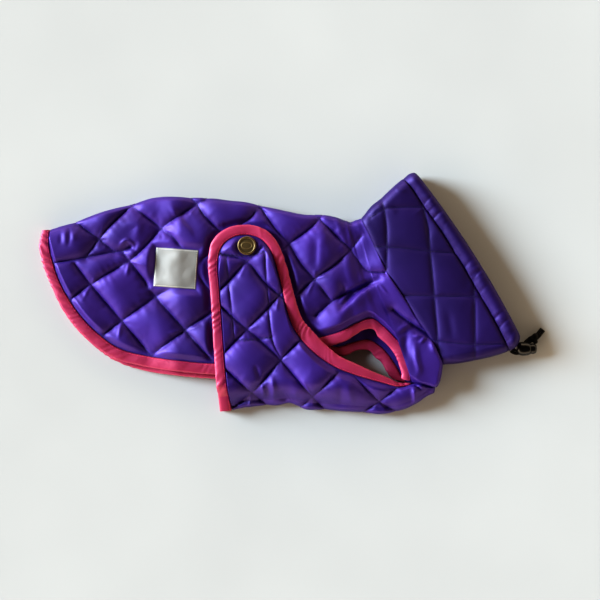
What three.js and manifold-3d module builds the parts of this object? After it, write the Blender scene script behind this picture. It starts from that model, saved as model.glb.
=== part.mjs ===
// A quilted winter coat for a dog, lying folded flat on its left side.
//
// The head end points to +X, the back fold to +Y and the belly fold to -Y.
// The coat lies on the plane z = 0, and the origin is under its middle.
// Right-hand pieces lie on top, left-hand pieces are underneath.

import * as THREE from 'three';
import Module from 'manifold-3d';
import { mergeVertices } from 'three/addons/utils/BufferGeometryUtils.js';

// Driving dimensions, in millimetres.
const WALL = 5.5;
const SEAM_GAP = 0.3;
const LAYER_GAP = 2.2;
const QUILT_RISE = 3.4;
const BAND_THICK = 6.9;
const BAND_PROUD_BELOW = 0.5;
const COLLAR_RISE = 3.0;
const FLAP_LIFT = BAND_THICK + SEAM_GAP;
const FLAP_SLOPE = 24;
const FLAP_RISE = 22;
const LABEL_SIZE = { width: 47, height: 43, thick: 0.8, tilt: -4.2 };
const LABEL_CENTRE = { x: -115.8, y: 27.5 };
const LABEL_SEAT = 0.8;
const LABEL_CLEAR = 0.45;
const STUD = { x: -37.4, y: 52.2, radius: 10.3, height: 3.6 };
const CORD_DIAMETER = 3;
const CORD_GAP = 0.3;
const LOCK = { radius: 7.7, length: 15, x: 268.5, y: -61.3, buttonRadius: 5.9, buttonLength: 6.4 };
const KNOT = { halfLength: 6, halfWidth: 5.3, halfHeight: 4.3, x: 280, y: -50.2 };

// Colours and finishes.
const FINISH = {
  nylon: { color: 0x46329c, roughness: 0.42, metalness: 0 },
  collarNylon: { color: 0x3a2a86, roughness: 0.45, metalness: 0 },
  binding: { color: 0xf04a86, roughness: 0.5, metalness: 0 },
  woven: { color: 0xd8d6d2, roughness: 0.7, metalness: 0 },
  brass: { color: 0x7a6a45, roughness: 0.35, metalness: 0.9 },
  black: { color: 0x101113, roughness: 0.25, metalness: 0 },
  cord: { color: 0x17181a, roughness: 0.8, metalness: 0 },
};

// Turns a list of rows into objects with the given column names.
function table(columns, rows) {
  return rows.map((row) => Object.fromEntries(columns.map((name, i) => [name, row[i]])));
}

// Rows of the back panel, from the tail to the neck seam. A row runs from the back fold to
// the wall's edge (in), with the free edge of its binding (out). The left layer's edge is
// shifted by slip. Lift is the height of the left layer, gap the air between the layers.
const BACK_COLUMNS = ['foldX', 'foldY', 'inX', 'inY', 'outX', 'outY', 'slipX', 'slipY', 'lift', 'gap'];
const BACK_ROWS = table(BACK_COLUMNS, [
  [-255, 70.5, -256.5, 54, -267.8, 54, 0, 0, 0, 2.2],
  [-245, 74, -253, 38, -264.5, 35, 0, 0, 0, 2.2],
  [-230, 78.5, -245, 14, -256, 12, 0, 0, 0, 2.2],
  [-210, 86, -230, -13, -240, -21, 0, 0, 0, 2.2],
  [-188, 93, -208, -39, -217, -49, 0, -1, 0, 2.2],
  [-164, 99.5, -180, -60, -186, -71, 0, -3, 0, 2.2],
  [-139, 106, -148, -69, -151, -81, 0, -5, 0, 2.2],
  [-108, 106.5, -111, -74, -112, -86.5, 0, -5, 6, 2.2],
  [-80, 105.5, -76, -77, -75, -89.5, 0, -5, FLAP_LIFT, 2.2],
  [-57, 102.5, -42, -76, -39, -89, 0, -5, FLAP_LIFT, 2.2],
  [-31, 99.5, -16, -69, -8, -80, 0, -5, FLAP_LIFT, 2.2],
  [1, 91.5, 12, -58, 21, -68, 0, -5, FLAP_LIFT, 2.2],
  [25, 87, 40, -49, 48, -60, 0, -6, FLAP_LIFT, 2.2],
  [43, 87.5, 64, -42, 71, -52.5, -3, -17, FLAP_LIFT, 2.4],
  [59, 84.5, 84, -32, 90, -41, -5, -22, 4, 3],
  [70, 80.5, 100, -27, 102, -40, -4, -24, 1, 3.8],
  [72.5, 80, 113, -35.5, 107, -48, -4, -22, 0, 4.4],
  [74.5, 79, 124, -46.5, 116.5, -56.5, -6, -20, 0, 5],
  [76.5, 78.5, 135, -60, 125, -67.5, -10, -16, 0, 5.6],
  [78.5, 79, 141.5, -74.5, 130, -79.5, -11, -11, 0, 6],
  [80.5, 80, 143.5, -86, 132.5, -88.5, -9, -6.5, 0, 6.4],
  [82.5, 81, 143.5, -96.8, 134, -95.2, -4, -1.5, 0, 6.8],
  [84.5, 81.5, 153, -99.6, 153, -99.6, 0, 0, 0, 7.2],
  [86, 82, 163, -101.8, 163, -101.8, 0, 0, 0, 7.5],
  [87, 82.4, 171.5, -103.2, 171.5, -103.2, 0, 0, 0, 7.8],
  [87.6, 82.6, 176.5, -92, 176.5, -92, 0, 0, 0, 8],
  [88, 82.8, 178, -79, 178, -79, 0, 0, 0, 8],
]);
const BACK_STEPS = [2, 2, 2, 3, 3, 3, 3, 3, 2, 2, 3, 2, 2, 2, 2, 1, 1, 1, 1, 1, 1, 1, 1, 1, 1, 1];
const BACK_BAND_END = 21;
const TAIL_BAND_START = { inX: -255.6, inY: 70, outX: -264.5, outY: 69.8 };

// Rows of the belly panel, from its rear edge to the throat. A row runs from the belly fold
// to the wall's edge (in), with the free edge of its binding (out). Rise is the height of the
// right layer's underside there, and slip shifts the left layer's edge.
const BELLY_COLUMNS = ['foldX', 'foldY', 'inX', 'inY', 'outX', 'outY', 'slipX', 'slipY', 'rise'];
const BELLY_ROWS = table(BELLY_COLUMNS, [
  [-54, -130, -57.3, -113, -69.3, -114, 2, 0, FLAP_RISE],
  [-52.3, -129.4, -60, -93, -71.8, -94, 2, 0, FLAP_RISE],
  [-50.2, -128.8, -62.3, -66, -73.6, -66, 2, 0, FLAP_RISE],
  [-47.4, -128.2, -64.5, -34, -75.5, -34, 2, 0, FLAP_RISE],
  [-44.7, -127.6, -67.2, 4, -77.9, 4, 2, 0, FLAP_RISE],
  [-41.9, -127, -69, 33, -80.3, 34, 2, -1, FLAP_RISE],
  [-38.6, -126.4, -64.6, 51, -75.5, 57.5, 1, -2, FLAP_RISE],
  [-34.2, -126.2, -52.5, 61, -59.5, 71.5, 0, -3, FLAP_RISE],
  [-28.7, -126, -38.5, 63.5, -38.5, 75.3, 0, -3, FLAP_RISE],
  [-23.2, -125.8, -25, 60.5, -18.5, 70.5, 0, -3, FLAP_RISE],
  [-17.7, -125.4, -16, 53, -6.5, 59.5, -1, -3, FLAP_RISE],
  [-12.2, -125, -10, 42, 1, 45.5, -2, -3, FLAP_RISE],
  [-5.6, -124.8, -4, 23, 7.3, 26, -2, -3, FLAP_RISE],
  [2.1, -124.4, 1, 3, 12.6, 6, -2, -3, FLAP_RISE],
  [9.8, -124, 5.5, -17, 17.8, -13, -2, -3, FLAP_RISE],
  [17.5, -125.4, 12, -36, 24, -29, -2, -3, FLAP_RISE],
  [26.3, -127.6, 23.5, -53, 34.5, -41, -2, -3, FLAP_RISE],
  [37.3, -128.7, 40, -69, 47.5, -55, -2, -3, FLAP_RISE],
  [53.8, -129.6, 59.5, -81.5, 65, -69, -1, -3, FLAP_RISE],
  [72.5, -130.8, 78, -89, 82, -77, 0, -3, 20.5],
  [92.3, -132.4, 97, -95, 100, -85.5, 0, -3.5, 18],
  [111, -133.8, 114.5, -99.8, 117, -92.5, 0, -4, 15.5],
  [128.6, -131, 129.5, -103.4, 130.5, -98.4, 0, -3.5, 13.5],
  [140.7, -126.5, 142, -101.8, 142.5, -98.6, 0, -1, 12.8],
  [151.7, -120.6, 153, -100.6, 153, -100.6, 0, 0, 12.8],
  [161, -114, 162.5, -102.6, 162.5, -102.6, 0, 0, 13],
  [167, -110, 168.5, -103.8, 168.5, -103.8, 0, 0, 13.2],
]);
const BELLY_STEPS = [1, 1, 1, 1, 1, 1, 1, 1, 1, 1, 1, 1, 1, 1, 1, 1, 1, 1, 2, 2, 2, 2, 1, 1, 1, 1];
const BELLY_BAND_END = 23;
const BELLY_BAND_START = { inX: -54.6, inY: -129.6, outX: -67.6, outY: -130.6, slipX: 0, rise: 7.8 };

// Rings of the collar, from the neck seam to the drawstring casing, and of the casing from
// there to the mouth. Top lies on the back fold, low on the throat fold, and bow bends the
// ring towards the head at its middle. Gap is the air inside.
const RING_COLUMNS = ['topX', 'topY', 'lowX', 'lowY', 'bow', 'gap'];
const COLLAR_RINGS = table(RING_COLUMNS, [
  [88.6, 83.2, 178.9, -79.3, 0, 8],
  [99, 96.5, 191.3, -78.6, 1, 12],
  [110, 105.5, 205.6, -76.4, 2, 15.5],
  [121, 115.8, 221, -73.2, 3, 18.5],
  [129.7, 123.4, 238, -69, 4.2, 20.5],
  [134.7, 127, 252.3, -64.2, 5, 22],
]);
const CASING_RINGS = table(RING_COLUMNS, [
  [135.1, 127.3, 252.8, -64, 5, 22],
  [140.7, 131.8, 259.2, -59.8, 5.6, 23],
  [146.8, 134.4, 264.8, -50.6, 5.8, 22],
]);
const CASING_PUFF = 2.2;
const CASING_GATHERS = 17;

// Way of the doubled drawstring: out of the casing's corner, through the cord lock and the
// knot, and down to the ground.
const CORD_ROUTE = table(['x', 'y', 'z'], [
  [254.7, -62.4, 8],
  [258.6, -64.6, 7.9],
  [261.8, -65, 7.8],
  [265, -63.9, 7.7],
  [268, -61.3, 7.7],
  [270.2, -57.6, 7.5],
  [272.4, -54.1, 6.8],
  [275.9, -51.7, 5.6],
  [280, -50.2, 4.6],
  [283.2, -48.2, 3.6],
  [285.8, -45.8, 2.7],
  [288.2, -43, 2],
  [290.4, -40.2, 1.6],
]);

// Quilting of each panel: one crossing of the stitch lines, and the way along either line to
// the next crossing.
const QUILT = {
  rear: { x: -176.5, y: -29.4, ax: 38.5, ay: 25.9, bx: 33, by: -39.1 },
  front: { x: 9.1, y: 55.3, ax: 36, ay: 32, bx: 29, by: -40 },
  flap: { x: -37, y: -39.7, ax: 35.6, ay: -34.8, bx: 33.2, by: 37.8 },
  collar: { x: 163.3, y: 46.5, ax: 48.5, ay: -2, bx: 4, by: -48.4 },
};
const QUILT_CHANGE = { from: -70, to: -30 };
const DART = { fromX: -250.9, fromY: 33.3, toX: -165, toY: 51, reach: 9, left: 0.25 };
const PATCH = { x: -34, y: -6, halfWidth: 21, halfHeight: 45, lean: -0.09, reach: 7, left: 0.35 };

const HEIGHTS = ['lift', 'gap', 'rise'];
const LABEL_ROWS = [3, 10];
const FLAP_MARGIN = { from: 13, to: 25 };
const LABEL_MARGIN = { from: 11, to: 20 };
const STUD_MARGIN = { from: 9, to: 17 };
const FOLD_EASE = 9;
const COLLAR_NOSE = 11;

const radians = (degrees) => (degrees * Math.PI) / 180;
const mix = (a, b, t) => a + (b - a) * t;

function smooth(low, high, value) {
  const t = Math.min(1, Math.max(0, (value - low) / (high - low)));
  return t * t * (3 - 2 * t);
}

// Catmull-Rom value of every column of a table at the running row number u. Heights stay
// between those of the two rows, so that no layer dips below what it lies on.
function rowAt(rows, u) {
  const i = Math.min(rows.length - 2, Math.floor(u));
  const t = u - i;
  const before = rows[Math.max(0, i - 1)];
  const after = rows[Math.min(rows.length - 1, i + 2)];
  const out = {};
  for (const name of Object.keys(rows[i])) {
    const [p0, p1, p2, p3] = [before[name], rows[i][name], rows[i + 1][name], after[name]];
    const linear = p2 - p0;
    const square = 2 * p0 - 5 * p1 + 4 * p2 - p3;
    const cube = 3 * p1 - p0 - 3 * p2 + p3;
    out[name] = p1 + 0.5 * (linear * t + square * t * t + cube * t * t * t);
    if (HEIGHTS.includes(name)) out[name] = mix(p1, p2, smooth(0, 1, t));
  }
  return out;
}

// Running row numbers with so many steps in each interval of a table.
function stations(steps) {
  const out = [0];
  steps.forEach((count, i) => {
    for (let k = 1; k <= count; k += 1) out.push(i + k / count);
  });
  return out;
}

// One square of quilting is 0 on its stitch lines and 1 at its middle.
function quilted(lattice, x, y) {
  const dx = x - lattice.x;
  const dy = y - lattice.y;
  const size = lattice.ax * lattice.by - lattice.ay * lattice.bx;
  const along = (dx * lattice.by - dy * lattice.bx) / size;
  const across = (lattice.ax * dy - lattice.ay * dx) / size;
  return Math.sqrt(Math.abs(Math.sin(Math.PI * along) * Math.sin(Math.PI * across)));
}

function distanceToLine(line, x, y) {
  const dx = line.toX - line.fromX;
  const dy = line.toY - line.fromY;
  const t = ((x - line.fromX) * dx + (y - line.fromY) * dy) / (dx * dx + dy * dy);
  const near = Math.min(1, Math.max(0, t));
  return Math.hypot(x - line.fromX - near * dx, y - line.fromY - near * dy);
}

// Height of the padding over the back panel's wall: the squares, flat under the label and
// under the flap, and drawn in along the dart.
function backRelief(x, y, outline) {
  const front = smooth(QUILT_CHANGE.from, QUILT_CHANGE.to, x);
  let rise = QUILT_RISE * mix(quilted(QUILT.rear, x, y), quilted(QUILT.front, x, y), front);
  rise *= mix(DART.left, 1, smooth(0, DART.reach, distanceToLine(DART, x, y)));
  rise *= smooth(FLAP_MARGIN.from, FLAP_MARGIN.to, outsideDistance(outline, x, y));
  const overLabel = Math.max(
    Math.abs(x - LABEL_CENTRE.x) - LABEL_SIZE.width / 2,
    Math.abs(y - LABEL_CENTRE.y) - LABEL_SIZE.height / 2,
  );
  return mix(LABEL_SEAT, rise, smooth(LABEL_MARGIN.from, LABEL_MARGIN.to, overLabel));
}

// Height of the padding over the belly panel's wall: the squares, flat round the stud, and
// drawn in along the stitched patch.
function bellyRelief(x, y) {
  let rise = QUILT_RISE * quilted(QUILT.flap, x, y);
  const sideways = Math.abs(x - PATCH.x - (y - PATCH.y) * PATCH.lean) - PATCH.halfWidth;
  const upward = Math.abs(y - PATCH.y) - PATCH.halfHeight;
  rise *= mix(PATCH.left, 1, smooth(0, PATCH.reach, Math.abs(Math.max(sideways, upward))));
  const fromStud = Math.hypot(x - STUD.x, y - STUD.y) - STUD.radius;
  return rise * smooth(STUD_MARGIN.from, STUD_MARGIN.to, fromStud);
}

// Distance of a point outside a polygon, negative inside it.
function outsideDistance(polygon, x, y) {
  let nearest = Infinity;
  let inside = false;
  polygon.forEach((a, i) => {
    const b = polygon[(i + 1) % polygon.length];
    const line = { fromX: a.x, fromY: a.y, toX: b.x, toY: b.y };
    nearest = Math.min(nearest, distanceToLine(line, x, y));
    if (a.y > y !== b.y > y && x < a.x + ((y - a.y) * (b.x - a.x)) / (b.y - a.y)) inside = !inside;
  });
  return inside ? -nearest : nearest;
}

// A solid from an outer and an inner grid of points with the same rows and columns. With
// wrap, the last column joins the first, as on a tube.
function shell(outer, inner, wrap = false) {
  const rows = outer.length;
  const columns = outer[0].length;
  const points = [...outer.flat(), ...inner.flat()];
  const index = [];
  const quad = (a, b, c, d) => index.push(a, b, c, a, c, d);
  const at = (u, v) => u * columns + (v % columns);
  const shift = rows * columns;
  const last = wrap ? columns : columns - 1;
  for (let u = 0; u < rows - 1; u += 1) {
    for (let v = 0; v < last; v += 1) {
      quad(at(u, v), at(u + 1, v), at(u + 1, v + 1), at(u, v + 1));
      quad(shift + at(u, v), shift + at(u, v + 1), shift + at(u + 1, v + 1), shift + at(u + 1, v));
    }
    if (!wrap) {
      quad(at(u, 0), shift + at(u, 0), shift + at(u + 1, 0), at(u + 1, 0));
      quad(at(u, last), at(u + 1, last), shift + at(u + 1, last), shift + at(u, last));
    }
  }
  for (let v = 0; v < last; v += 1) {
    quad(at(0, v), at(0, v + 1), shift + at(0, v + 1), shift + at(0, v));
    quad(at(rows - 1, v), shift + at(rows - 1, v), shift + at(rows - 1, v + 1), at(rows - 1, v + 1));
  }
  return solid(points, index);
}

// A solid from rings of points along a path, closed by a fan at either end.
function rail(rings) {
  const count = rings[0].length;
  const index = [];
  for (let u = 0; u < rings.length - 1; u += 1) {
    for (let v = 0; v < count; v += 1) {
      const next = (v + 1) % count;
      const [a, b] = [u * count + v, u * count + next];
      index.push(a, a + count, b + count, a, b + count, b);
    }
  }
  const end = (rings.length - 1) * count;
  for (let v = 1; v < count - 1; v += 1) {
    index.push(0, v, v + 1);
    index.push(end, end + v + 1, end + v);
  }
  return solid(rings.flat(), index);
}

// An indexed geometry with its faces turned outwards.
function solid(points, index) {
  let volume = 0;
  for (let i = 0; i < index.length; i += 3) {
    const [a, b, c] = [points[index[i]], points[index[i + 1]], points[index[i + 2]]];
    volume += a.dot(new THREE.Vector3().crossVectors(b, c));
  }
  if (volume < 0) index.reverse();
  const geometry = new THREE.BufferGeometry();
  geometry.setAttribute('position', new THREE.Float32BufferAttribute(points.flatMap((p) => p.toArray()), 3));
  geometry.setIndex(index);
  geometry.computeVertexNormals();
  return geometry;
}

// The points of one row of a folded panel, from the left layer's edge round the fold to the
// right layer's edge. Each side has its own number of steps.
function foldedRow({ fold, right, left, leftZ, rightZ, relief, steps }) {
  const outer = [];
  const inner = [];
  const half = (rightZ(0) + WALL - leftZ) / 2;
  const middle = leftZ + half;
  const side = (edge, count, place) => {
    const length = Math.hypot(edge.x - fold.x, edge.y - fold.y);
    const start = Math.min(half, 0.6 * length);
    for (let k = 0; k <= count; k += 1) {
      const s = mix(start, length, k / count);
      place(mix(fold.x, edge.x, s / length), mix(fold.y, edge.y, s / length), s);
    }
    return start / length;
  };
  const leftOuter = [];
  const leftInner = [];
  const leftPart = side(left, steps.left, (x, y) => {
    leftOuter.push(new THREE.Vector3(x, y, leftZ));
    leftInner.push(new THREE.Vector3(x, y, leftZ + WALL));
  });
  outer.push(...leftOuter.reverse());
  inner.push(...leftInner.reverse());
  const rightOuter = [];
  const rightInner = [];
  const rightPart = side(right, steps.right, (x, y, s) => {
    const padding = relief(x, y) * smooth(half, half + FOLD_EASE, s);
    rightOuter.push(new THREE.Vector3(x, y, rightZ(s) + WALL + padding));
    rightInner.push(new THREE.Vector3(x, y, rightZ(s)));
  });
  for (let k = 1; k < steps.nose; k += 1) {
    const t = k / steps.nose;
    const angle = mix(-90, 90, t);
    const rootX = mix(mix(fold.x, left.x, leftPart), mix(fold.x, right.x, rightPart), t);
    const rootY = mix(mix(fold.y, left.y, leftPart), mix(fold.y, right.y, rightPart), t);
    const reach = Math.cos(radians(angle));
    const lift = Math.sin(radians(angle));
    const thin = (half - WALL) / half;
    const [outX, outY] = [mix(rootX, fold.x, reach), mix(rootY, fold.y, reach)];
    const [inX, inY] = [mix(rootX, fold.x, reach * thin), mix(rootY, fold.y, reach * thin)];
    outer.push(new THREE.Vector3(outX, outY, middle + half * lift));
    inner.push(new THREE.Vector3(inX, inY, middle + (half - WALL) * lift));
  }
  outer.push(...rightOuter);
  inner.push(...rightInner);
  return { outer, inner };
}

// One section of binding between the wall's edge and its own free edge.
function bandRing(from, to, bottom) {
  const length = Math.hypot(to.x - from.x, to.y - from.y);
  const start = Math.min(0.3, SEAM_GAP / length);
  const point = (t, z) => new THREE.Vector3(mix(from.x, to.x, t), mix(from.y, to.y, t), z);
  const shoulder = 0.84;
  return [
    point(start, bottom),
    point(shoulder, bottom),
    point(1, bottom + BAND_THICK / 2),
    point(shoulder, bottom + BAND_THICK),
    point(start, bottom + BAND_THICK),
  ];
}

const edgeOf = (row, kind, side) => ({
  x: row[`${kind}X`] + (side === 'left' ? row.slipX : 0),
  y: row[`${kind}Y`] + (side === 'left' ? row.slipY : 0),
});

const rightHeight = (row) => row.lift + WALL + row.gap;

// Outline of the flap where it lies over the back panel.
const FLAP_OUTLINE = BELLY_ROWS.slice(0, 19).map((row) => ({ x: row.outX, y: row.outY }));
FLAP_OUTLINE.push({ x: BELLY_ROWS[18].foldX, y: BELLY_ROWS[18].foldY });
FLAP_OUTLINE.push({ x: BELLY_ROWS[0].foldX, y: BELLY_ROWS[0].foldY });

function backPanel() {
  const rows = stations(BACK_STEPS).map((u) => {
    const row = rowAt(BACK_ROWS, u);
    return foldedRow({
      fold: { x: row.foldX, y: row.foldY },
      right: edgeOf(row, 'in', 'right'),
      left: edgeOf(row, 'in', 'left'),
      leftZ: row.lift,
      rightZ: () => rightHeight(row),
      relief: (x, y) => backRelief(x, y, FLAP_OUTLINE),
      steps: { left: 5, nose: 4, right: 15 },
    });
  });
  return shell(rows.map((row) => row.outer), rows.map((row) => row.inner));
}

// Height of the right layer's underside at the distance s from the belly fold.
function bellyHeight(row, s) {
  const flat = WALL + LAYER_GAP;
  return mix(flat, row.rise, smooth(flat, flat + FLAP_SLOPE, s));
}

function bellyPanel() {
  const rows = stations(BELLY_STEPS).map((u) => {
    const row = rowAt(BELLY_ROWS, u);
    return foldedRow({
      fold: { x: row.foldX, y: row.foldY },
      right: edgeOf(row, 'in', 'right'),
      left: edgeOf(row, 'in', 'left'),
      leftZ: 0,
      rightZ: (s) => bellyHeight(row, s),
      relief: bellyRelief,
      steps: { left: 5, nose: 4, right: 17 },
    });
  });
  return shell(rows.map((row) => row.outer), rows.map((row) => row.inner));
}

// The back panel's binding: from the tail along the hem, then up round the leg hole.
function hemBinding(side) {
  const bottomOf = (row) => (side === 'left' ? row.lift : rightHeight(row) - BAND_PROUD_BELOW);
  const first = { ...BACK_ROWS[0], ...TAIL_BAND_START };
  const rows = stations(BACK_STEPS.slice(0, BACK_BAND_END)).map((u) => rowAt(BACK_ROWS, u));
  return rail([first, ...rows].map((row) => (
    bandRing(edgeOf(row, 'in', side), edgeOf(row, 'out', side), bottomOf(row))
  )));
}

// The belly panel's binding: up the rear edge, round the flap's top, down to the leg hole's
// front corner.
function bellyBinding(side) {
  const bottomOf = (row) => {
    const edge = edgeOf(row, 'in', side);
    const s = Math.hypot(edge.x - row.foldX, edge.y - row.foldY);
    return side === 'left' ? 0 : bellyHeight(row, s) - BAND_PROUD_BELOW;
  };
  const first = { ...BELLY_ROWS[0], ...BELLY_BAND_START };
  const rows = stations(BELLY_STEPS.slice(0, BELLY_BAND_END)).map((u) => rowAt(BELLY_ROWS, u));
  return rail([first, ...rows].map((row) => (
    bandRing(edgeOf(row, 'in', side), edgeOf(row, 'out', side), bottomOf(row))
  )));
}

// One flattened ring of a tube that lies on the ground: right side, throat fold, left side,
// back fold. Relief raises the right side, and puff swells it all round.
function flatRing(row, wall, relief, steps) {
  const outer = [];
  const inner = [];
  const length = Math.hypot(row.lowX - row.topX, row.lowY - row.topY);
  const along = { x: (row.lowX - row.topX) / length, y: (row.lowY - row.topY) / length };
  const ahead = { x: -along.y, y: along.x };
  const height = 2 * wall + row.gap;
  const half = height / 2;
  const nose = Math.min(half, COLLAR_NOSE);
  const place = (s, z) => {
    const t = s / length;
    const bow = row.bow * 4 * t * (1 - t);
    return new THREE.Vector3(row.topX + along.x * s + ahead.x * bow, row.topY + along.y * s + ahead.y * bow, z);
  };
  const push = (s, z, insetS, insetZ) => {
    outer.push(place(s, z));
    inner.push(place(insetS, insetZ));
  };
  for (let k = 0; k <= steps.right; k += 1) {
    const s = mix(nose, length - nose, k / steps.right);
    const flat = place(s, 0);
    const edge = smooth(0, 12, Math.min(s - nose, length - nose - s));
    push(s, height + relief(flat.x, flat.y, k) * edge, s, height - wall);
  }
  const roundEnd = (from, count) => {
    for (let k = 1; k < count; k += 1) {
      const angle = radians(from - (180 * k) / count);
      const centre = from === 90 ? length - nose : nose;
      const s = centre + nose * Math.cos(angle);
      const insetS = centre + (nose - wall) * Math.cos(angle);
      push(s, half + half * Math.sin(angle), insetS, half + (half - wall) * Math.sin(angle));
    }
  };
  roundEnd(90, steps.nose);
  for (let k = 0; k <= steps.left; k += 1) {
    const s = mix(length - nose, nose, k / steps.left);
    push(s, 0, s, wall);
  }
  roundEnd(-90, steps.nose);
  return { outer, inner };
}

function collar() {
  const lastRow = COLLAR_RINGS.length - 1;
  const rings = stations([3, 3, 3, 3, 2]).map((u) => {
    const fade = smooth(0, 0.9, u) * smooth(0, 0.5, lastRow - u);
    const relief = (x, y) => COLLAR_RISE * fade * quilted(QUILT.collar, x, y);
    return flatRing(rowAt(COLLAR_RINGS, u), WALL, relief, { right: 17, nose: 4, left: 6 });
  });
  return shell(rings.map((ring) => ring.outer), rings.map((ring) => ring.inner), true);
}

// The drawstring casing, gathered into soft waves along the mouth.
function casing() {
  const lastRow = CASING_RINGS.length - 1;
  const steps = { right: 2 * CASING_GATHERS, nose: 4, left: 6 };
  const rings = stations([2, 2]).map((u) => {
    const swell = Math.sin((Math.PI * u) / lastRow);
    const relief = (x, y, k) => CASING_PUFF * swell * (k % 2 === 0 ? 0.45 : 1);
    return flatRing(rowAt(CASING_RINGS, u), WALL - 0.5, relief, steps);
  });
  return shell(rings.map((ring) => ring.outer), rings.map((ring) => ring.inner), true);
}

// The woven label lies on the flattened quilting, sewn on round its edge.
function label() {
  const shape = new THREE.BoxGeometry(LABEL_SIZE.width, LABEL_SIZE.height, LABEL_SIZE.thick, 4, 4, 1);
  shape.rotateZ(radians(LABEL_SIZE.tilt));
  return shape;
}

// The lift of the back panel changes along the label, so the label is tilted to match.
function labelPlace(geometry) {
  const places = geometry.attributes.position;
  for (let i = 0; i < places.count; i += 1) {
    const x = places.getX(i) + LABEL_CENTRE.x;
    const y = places.getY(i) + LABEL_CENTRE.y;
    const top = rightHeight(rowAt(BACK_ROWS, rowNumberAt(x, y))) + WALL + LABEL_SEAT;
    places.setXYZ(i, x, y, places.getZ(i) + top + LABEL_CLEAR + LABEL_SIZE.thick / 2);
  }
  geometry.computeVertexNormals();
  return geometry;
}

// The running row number of the back panel's row that passes through a point.
function rowNumberAt(x, y) {
  let [low, high] = LABEL_ROWS;
  for (let halving = 0; halving < 24; halving += 1) {
    const middle = (low + high) / 2;
    const row = rowAt(BACK_ROWS, middle);
    const turn = (row.inX - row.foldX) * (y - row.foldY) - (row.inY - row.foldY) * (x - row.foldX);
    if (turn < 0) high = middle;
    else low = middle;
  }
  return (low + high) / 2;
}

// The stud's cap: a shallow dome with a rolled rim, turned about its own axis.
function studCap() {
  const { radius, height } = STUD;
  const profile = [
    [0, 0],
    [radius * 0.82, 0],
    [radius, height * 0.3],
    [radius, height * 0.62],
    [radius * 0.9, height * 0.8],
    [radius * 0.76, height * 0.62],
    [radius * 0.45, height * 0.9],
    [0, height],
  ].map(([x, y]) => new THREE.Vector2(x, y));
  const cap = new THREE.LatheGeometry(profile, 24);
  cap.rotateX(radians(90));
  return cap;
}

// The cord's centre line, moved sideways on the ground plane.
function cordPath(sideways) {
  const centre = new THREE.CatmullRomCurve3(CORD_ROUTE.map(({ x, y, z }) => new THREE.Vector3(x, y, z)));
  const points = CORD_ROUTE.map((_, i) => {
    const t = i / (CORD_ROUTE.length - 1);
    const tangent = centre.getTangent(t);
    const side = new THREE.Vector3(-tangent.y, tangent.x, 0).normalize();
    return centre.getPoint(t).addScaledVector(side, sideways);
  });
  return new THREE.CatmullRomCurve3(points);
}

function cordStrand(sideways) {
  const section = new THREE.Shape();
  const sides = 8;
  for (let i = 0; i < sides; i += 1) {
    const angle = (2 * Math.PI * i) / sides;
    const [x, y] = [Math.cos(angle), Math.sin(angle)].map((value) => (value * CORD_DIAMETER) / 2);
    if (i === 0) section.moveTo(x, y);
    else section.lineTo(x, y);
  }
  const options = { extrudePath: cordPath(sideways), steps: 16, bevelEnabled: false };
  return new THREE.ExtrudeGeometry(section, options);
}

// The room that both strands need through the lock and the knot.
function cordChannel() {
  const halfWidth = CORD_DIAMETER + CORD_GAP / 2 + SEAM_GAP + 0.1;
  const halfHeight = CORD_DIAMETER / 2 + SEAM_GAP + 0.1;
  const path = cordPath(0);
  const count = 24;
  const rings = [];
  for (let i = 0; i <= count; i += 1) {
    const t = i / count;
    const centre = path.getPoint(t);
    const tangent = path.getTangent(t);
    const side = new THREE.Vector3(-tangent.y, tangent.x, 0).normalize().multiplyScalar(halfWidth);
    const up = new THREE.Vector3(0, 0, halfHeight);
    rings.push([[1, 1], [-1, 1], [-1, -1], [1, -1]].map(([across, above]) => (
      centre.clone().addScaledVector(side, across).addScaledVector(up, above)
    )));
  }
  return rail(rings);
}

const wasm = await Module();
wasm.setup();

function toManifold(geometry) {
  const bare = geometry.clone();
  bare.deleteAttribute('normal');
  bare.deleteAttribute('uv');
  const merged = mergeVertices(bare, 1e-4);
  const vertProperties = new Float32Array(merged.attributes.position.array);
  const triVerts = new Uint32Array(merged.index.array);
  return new wasm.Manifold(new wasm.Mesh({ numProp: 3, vertProperties, triVerts }));
}

function cutAway(geometry, cutter) {
  const mesh = toManifold(geometry).subtract(toManifold(cutter)).getMesh();
  const out = new THREE.BufferGeometry();
  out.setAttribute('position', new THREE.BufferAttribute(new Float32Array(mesh.vertProperties), 3));
  out.setIndex(new THREE.BufferAttribute(new Uint32Array(mesh.triVerts), 1));
  out.computeVertexNormals();
  return out;
}

// The cord lock's barrel lies along X with its button at the far end, and the strands pass
// through it crosswise.
function lockBarrel() {
  const { radius, length } = LOCK;
  const profile = [
    [0, -length / 2],
    [radius * 0.62, -length / 2],
    [radius * 0.9, -length * 0.36],
    [radius, 0],
    [radius * 0.92, length * 0.3],
    [radius * 0.78, length / 2],
    [0, length / 2],
  ].map(([x, y]) => new THREE.Vector2(x, y));
  const barrel = new THREE.LatheGeometry(profile, 20);
  barrel.rotateZ(radians(-90));
  barrel.translate(LOCK.x, LOCK.y, radius);
  return cutAway(barrel, cordChannel());
}

function lockButton() {
  const { buttonRadius, buttonLength } = LOCK;
  const profile = [
    [0, 0],
    [buttonRadius * 0.94, 0],
    [buttonRadius, buttonLength * 0.4],
    [buttonRadius * 0.9, buttonLength * 0.75],
    [buttonRadius * 0.6, buttonLength],
    [0, buttonLength],
  ].map(([x, y]) => new THREE.Vector2(x, y));
  const button = new THREE.LatheGeometry(profile, 20);
  button.rotateZ(radians(-90));
  button.translate(LOCK.x + LOCK.length / 2 + SEAM_GAP, LOCK.y, LOCK.radius);
  return button;
}

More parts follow.
